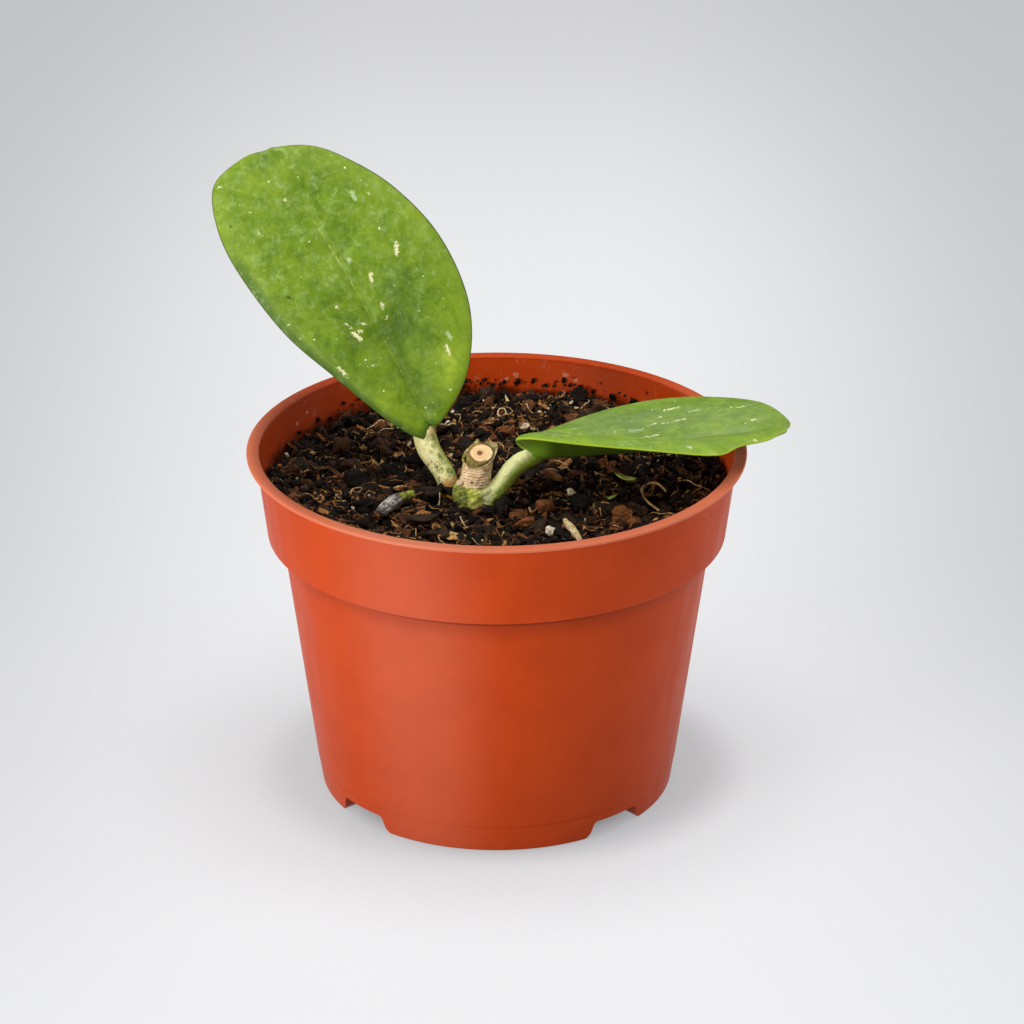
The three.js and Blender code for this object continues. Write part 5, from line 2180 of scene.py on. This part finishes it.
PETIOLES = (
    Petiole(
        name="petiole_stalk_left",
        node="petiole_left",
        points=(
            (-8.2, -12.6, 73.8, 2.5), (-10.1, -8.6, 76.2, 2.65), (-11.4, -5.6, 78.9, 2.65),
            (-12.5, -3.8, 81.0, 2.65), (-14.3, -2.1, 83.6, 2.7), (-16.0, -0.1, 86.0, 2.9),
            (-17.1, 2.0, 88.6, 3.0), (-17.9, 3.6, 91.2, 2.4), (-18.6, 3.9, 94.4, 1.5),
            (-20.3, 4.7, 98.2, 0.7),
        ),
        knob=(-16.4, -0.4, 89.7, 1.6, 1.4, 2.9),
        skin=StalkSkin("stalk_skin_left", srgb(228, 220, 156), srgb(136, 148, 42), srgb(170, 112, 32),
                       algae=0.9, foot=0.2, scar=0.8),
        flat=0.22,
        dirt=1.0,
        seed=41,
    ),
    Petiole(
        name="petiole_stalk_right",
        node="petiole_right",
        points=(
            (-5.2, -14.4, 76.5, 2.6), (-2.3, -14.0, 79.0, 2.6), (-0.1, -13.0, 81.0, 2.35),
            (1.7, -12.0, 83.2, 2.2), (4.0, -10.5, 85.6, 2.2), (6.4, -9.3, 87.2, 2.3),
            (9.4, -8.4, 88.2, 1.9), (12.6, -7.6, 89.4, 1.0),
        ),
        skin=StalkSkin("stalk_skin_right", srgb(214, 216, 150), srgb(134, 152, 52), srgb(208, 206, 140),
                       algae=0.35, foot=0.12),
        flat=0.08,
        dirt=0.35,
        seed=47,
    ),
)


# ---------------------------------------------------------------- loose pieces in the surface


@dataclass
class LooseChip:
    """A detailed chip in place of one of the loose solids."""

    node: str
    slot: str
    grain: Grain
    turn: float  # degrees
    tip: float
    tint: float
    seed: int
    ridges: float = 0.0  # depth of the ridges across it, in mm
    finish: FreshScrap | None = None

    def build(self) -> list[Piece]:
        """Makes the chip, in the box of its solid.

        Returns:
            A list with the finished piece.
        """
        low, high = (np.array(corner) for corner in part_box(self.node))
        rng = np.random.default_rng(self.seed)
        span = high - low
        angle = math.radians(self.turn)
        wide = abs(math.cos(angle)) + abs(math.sin(angle)) * 0.62
        length = max(span[0], span[1]) / max(wide, 0.8) * 0.98
        size = np.array([length, length * np.mean(self.grain.width), length * np.mean(self.grain.depth)])
        shape = self.grain.chip(rng, size, self.tint)
        local = shape.points
        if self.ridges:
            bands = np.abs(np.sin(np.pi * local[:, 0] / (1.05 * MM))) - 0.5
            local = local * (1 + 2 * self.ridges * MM / size[2] * bands[:, None] * [0, 1, 1])
        local = turned(local, angle, math.radians(self.tip), 0.0)
        middle = (local.min(0) + local.max(0)) / 2
        span_now = local.max(0) - local.min(0)
        shape.points = (local - middle) * min(1.0, *(span[:2] / span_now[:2])) + (low + high) / 2
        material = self.finish.build() if self.finish else PottingGrain().build()
        return [seat(shape.build(f"loose_{self.node}"), material, self.slot, self.node)]


def single(width: float, depth: float, facets: int, rough: float, bend: float) -> Grain:
    """A kind of grain with one fixed build, width and depth being shares of the length."""
    sizes = (1, 1), (width, width), (depth, depth)
    return Grain("piece", *sizes, FINE_CUTS, facets, rough, bend, 0, ((1, 0, 1),))


BARK_PIECE = single(0.62, 0.5, 9, 0.3, 0.1)
FLAT_PIECE = single(0.54, 0.34, 10, 0.26, 0.3)
SCRAP_PIECE = single(0.36, 0.14, 8, 0.3, 0.9)
PERLITE_PIECE = single(0.86, 0.8, 12, 0.4, 0.0)

GREEN_SCRAP = FreshScrap("green_scrap", srgb(196, 206, 92), srgb(96, 116, 26))

LOOSE_CHIPS = (
    LooseChip("bark_chip_dark", "bark_dark", BARK_PIECE, 20, 10, 0.44, 61),
    LooseChip("bark_chip_ridged", "bark_dark", FLAT_PIECE, 8, -6, 0.5, 62, ridges=0.1),
    LooseChip("coir_chunk_far", "bark_red", BARK_PIECE, 55, 12, 0.74, 63, ridges=0.28),
    LooseChip("coir_chunk_near", "bark_red", BARK_PIECE, 30, -8, 0.76, 64, ridges=0.24),
    LooseChip("bark_chip_orange", "bark_red", FLAT_PIECE, -25, 14, 0.84, 65),
    LooseChip("leaf_scrap_far", "leaf_scrap", SCRAP_PIECE, -18, 8, 0.5, 66, finish=GREEN_SCRAP),
    LooseChip("leaf_scrap_near", "leaf_scrap", SCRAP_PIECE, 20, -10, 0.5, 67, finish=GREEN_SCRAP),
    LooseChip("perlite_grain_right", "perlite", PERLITE_PIECE, 40, 0, 0.985, 68),
    LooseChip("perlite_grain_back", "perlite", PERLITE_PIECE, 15, 0, 0.965, 69),
    LooseChip("perlite_grain_front", "perlite", PERLITE_PIECE, 70, 0, 0.99, 70),
)


@dataclass
class LooseStick:
    """A round stick through points of x, y, height above the surface and radius in mm."""

    node: str
    points: tuple[Bead, ...]
    tint: float
    bark: float  # depth of its relief in mm
    seed: int
    twig: bool = False

    def build(self, mix: PottingMix) -> list[Piece]:
        """Makes the stick on the surface of the mix.

        Args:
            mix: The filling that it lies on.

        Returns:
            A list with the finished piece.
        """
        line = spline(np.array(self.points), np.linspace(0, 1, 90))
        path = line[:, :3] * MM
        path[:, 2] += mix.surface(path[:, 0], path[:, 1])

        def relief(along: Array, angle: Array) -> Array:
            """Change of the radius."""
            ring = np.stack([np.cos(angle), np.sin(angle), 3 * along], -1).reshape(-1, 3)
            rough = ripple(ring, 1.0, self.seed) + 0.6 * ripple(ring * [3, 3, 1], 0.9, self.seed + 1)
            return self.bark * MM * rough.reshape(along.shape)

        shape = tube(path, line[:, 3] * MM, 36 if self.twig else 14, relief)
        along = shape.values["along"]
        length = np.linalg.norm(np.diff(path, axis=0), axis=1).sum() / MM
        turn = shape.values["turn"]
        grain = np.stack([along * length, 1.4 * np.cos(turn), 1.4 * np.sin(turn)], 1)
        shape.values = {"along": along, "grain": grain, "tint": np.full(len(along), self.tint)}
        material = WeatheredTwig().build() if self.twig else PottingGrain().build()
        return [seat(shape.build(f"loose_{self.node}"), material, "dead_wood", self.node)]


LOOSE_STICKS = (
    LooseStick("twig_grey", ((-27.2, -22.4, 0.9, 1.3), (-24.2, -17.0, 1.2, 1.6), (-20.2, -11.6, 0.8, 1.1)),
               0.5, 0.12, 71, twig=True),
    LooseStick("wood_splinter", ((16.0, -27.6, 0.7, 0.6), (17.8, -32.6, 0.6, 0.9), (19.6, -37.4, 0.2, 0.55)),
               0.94, 0.06, 72),
    LooseStick("root_curl", ((40.4, -9.4, 0.5, 0.2), (38.4, -6.6, 1.2, 0.26), (35.2, -8.0, 1.1, 0.28),
                             (35.0, -14.0, 0.9, 0.26), (38.4, -20.8, 0.4, 0.2)), 0.91, 0.1, 73),
)


# ---------------------------------------------------------------- studio


def swing(ahead: Vector, aside: Vector, angle: float) -> tuple[Vector, Vector]:
    """Turns two vectors at right angles by an angle from the first to the second."""
    cosine, sine = math.cos(angle), math.sin(angle)
    return ahead * cosine + aside * sine, aside * cosine - ahead * sine


@dataclass(frozen=True)
class Softbox:
    """A square soft light."""

    name: str
    at: Point
    size: float
    power: float  # watts
    warmth: Point = (1, 1, 1)

    def build(self, lit: Point) -> None:
        """Adds the light, turned to a place."""
        data = bpy.data.lights.new(self.name, "AREA")
        data.size = self.size
        data.energy = self.power
        data.color = self.warmth
        lamp = bpy.data.objects.new(self.name, data)
        lamp.location = self.at
        lamp.visible_camera = False
        lamp.rotation_mode = "QUATERNION"
        lamp.rotation_quaternion = (Vector(lit) - Vector(self.at)).to_track_quat("-Z", "Y")
        bpy.context.scene.collection.objects.link(lamp)


@dataclass
class Studio:
    """Pale floor, soft lights and the camera at the photograph's viewing angle."""

    distance: float = 1.1388
    elevation: float = 25.31  # degrees
    aim_height: float = 0.045
    tilt: float = 1.133  # degrees up from the aim
    pan: float = 0.187  # degrees to the right of it
    lens: float = 164.4
    lit: Point = (0, 0, 0.05)  # where the lights are turned to
    lights: tuple[Softbox, ...] = (
        Softbox("key", (-0.92, -0.74, 0.25), 0.5, 12.2, (1.0, 0.99, 0.97)),
        Softbox("fill", (1.1, 0.2, 0.35), 0.5, 5),
        Softbox("top", (0.0, -0.12, 1.28), 1.0, 12),
        Softbox("back", (0.0, 0.8, 1.2), 1.0, 1.5),
    )
    sky: Colour = (0.98, 0.985, 1.0, 1)
    sky_strength: float = 0.22
    floor_half: float = 4.0

    def camera(self) -> None:
        """Makes the scene's camera."""
        data = bpy.data.cameras.new("camera")
        data.lens = self.lens
        data.sensor_width = 36
        data.clip_end = 20
        camera = bpy.data.objects.new("camera", data)
        bpy.context.scene.collection.objects.link(camera)
        rise = math.radians(self.elevation)
        ahead = Vector((0, math.cos(rise), -math.sin(rise)))
        right = Vector((1, 0, 0))
        up = right.cross(ahead)
        tilt, pan = math.radians(self.tilt), math.radians(self.pan)
        ahead, up = swing(ahead, up, tilt)
        ahead, right = swing(ahead, right, pan)
        back = Vector((0, -math.cos(rise), math.sin(rise))) * self.distance
        matrix = Matrix((right, up, -ahead)).transposed().to_4x4()
        matrix.translation = Vector((0, 0, self.aim_height)) + back
        camera.matrix_world = matrix
        bpy.context.scene.camera = camera

    def build(self) -> None:
        """Makes the floor, the lights and the world."""
        half = self.floor_half
        floor = Shape(np.array([(-half, -half, 0), (half, -half, 0), (half, half, 0), (-half, half, 0)]),
                      [[0, 1, 2, 3]]).build("studio_floor")
        floor.data.materials.append(StudioPaper().build())
        for light in self.lights:
            light.build(self.lit)
        world = bpy.data.worlds.new("studio_world")
        world.use_nodes = True
        background = world.node_tree.nodes["Background"]
        background.inputs[0].default_value = self.sky
        background.inputs[1].default_value = self.sky_strength
        bpy.context.scene.world = world
        bpy.context.scene.view_settings.view_transform = "Standard"
        bpy.context.scene.view_settings.look = "None"


def corners(bounds: tuple[Vector, Vector]) -> list[list[float]]:
    """Bounds as plain lists."""
    return [list(corner) for corner in bounds]


def report(pieces: list[Piece]) -> None:
    """Logs each piece with its number of faces."""
    for piece in pieces:
        LOG.info("%s: %d faces", piece.name, len(piece.data.polygons))


def main() -> None:
    """Builds the scene piece by piece."""
    logging.basicConfig(level=logging.INFO, format="%(name)s: %(message)s")
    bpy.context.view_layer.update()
    studio = Studio()
    studio.camera()
    pot = NurseryPot()
    mix = PottingMix(pot)
    for part in (pot, mix, CutStem(), *PETIOLES, LEAF_LEFT, LEAF_RIGHT, *LOOSE_CHIPS):
        report(part.build())
    for stick in LOOSE_STICKS:
        report(stick.build(mix))
    studio.build()


if __name__ == "__main__":
    main()
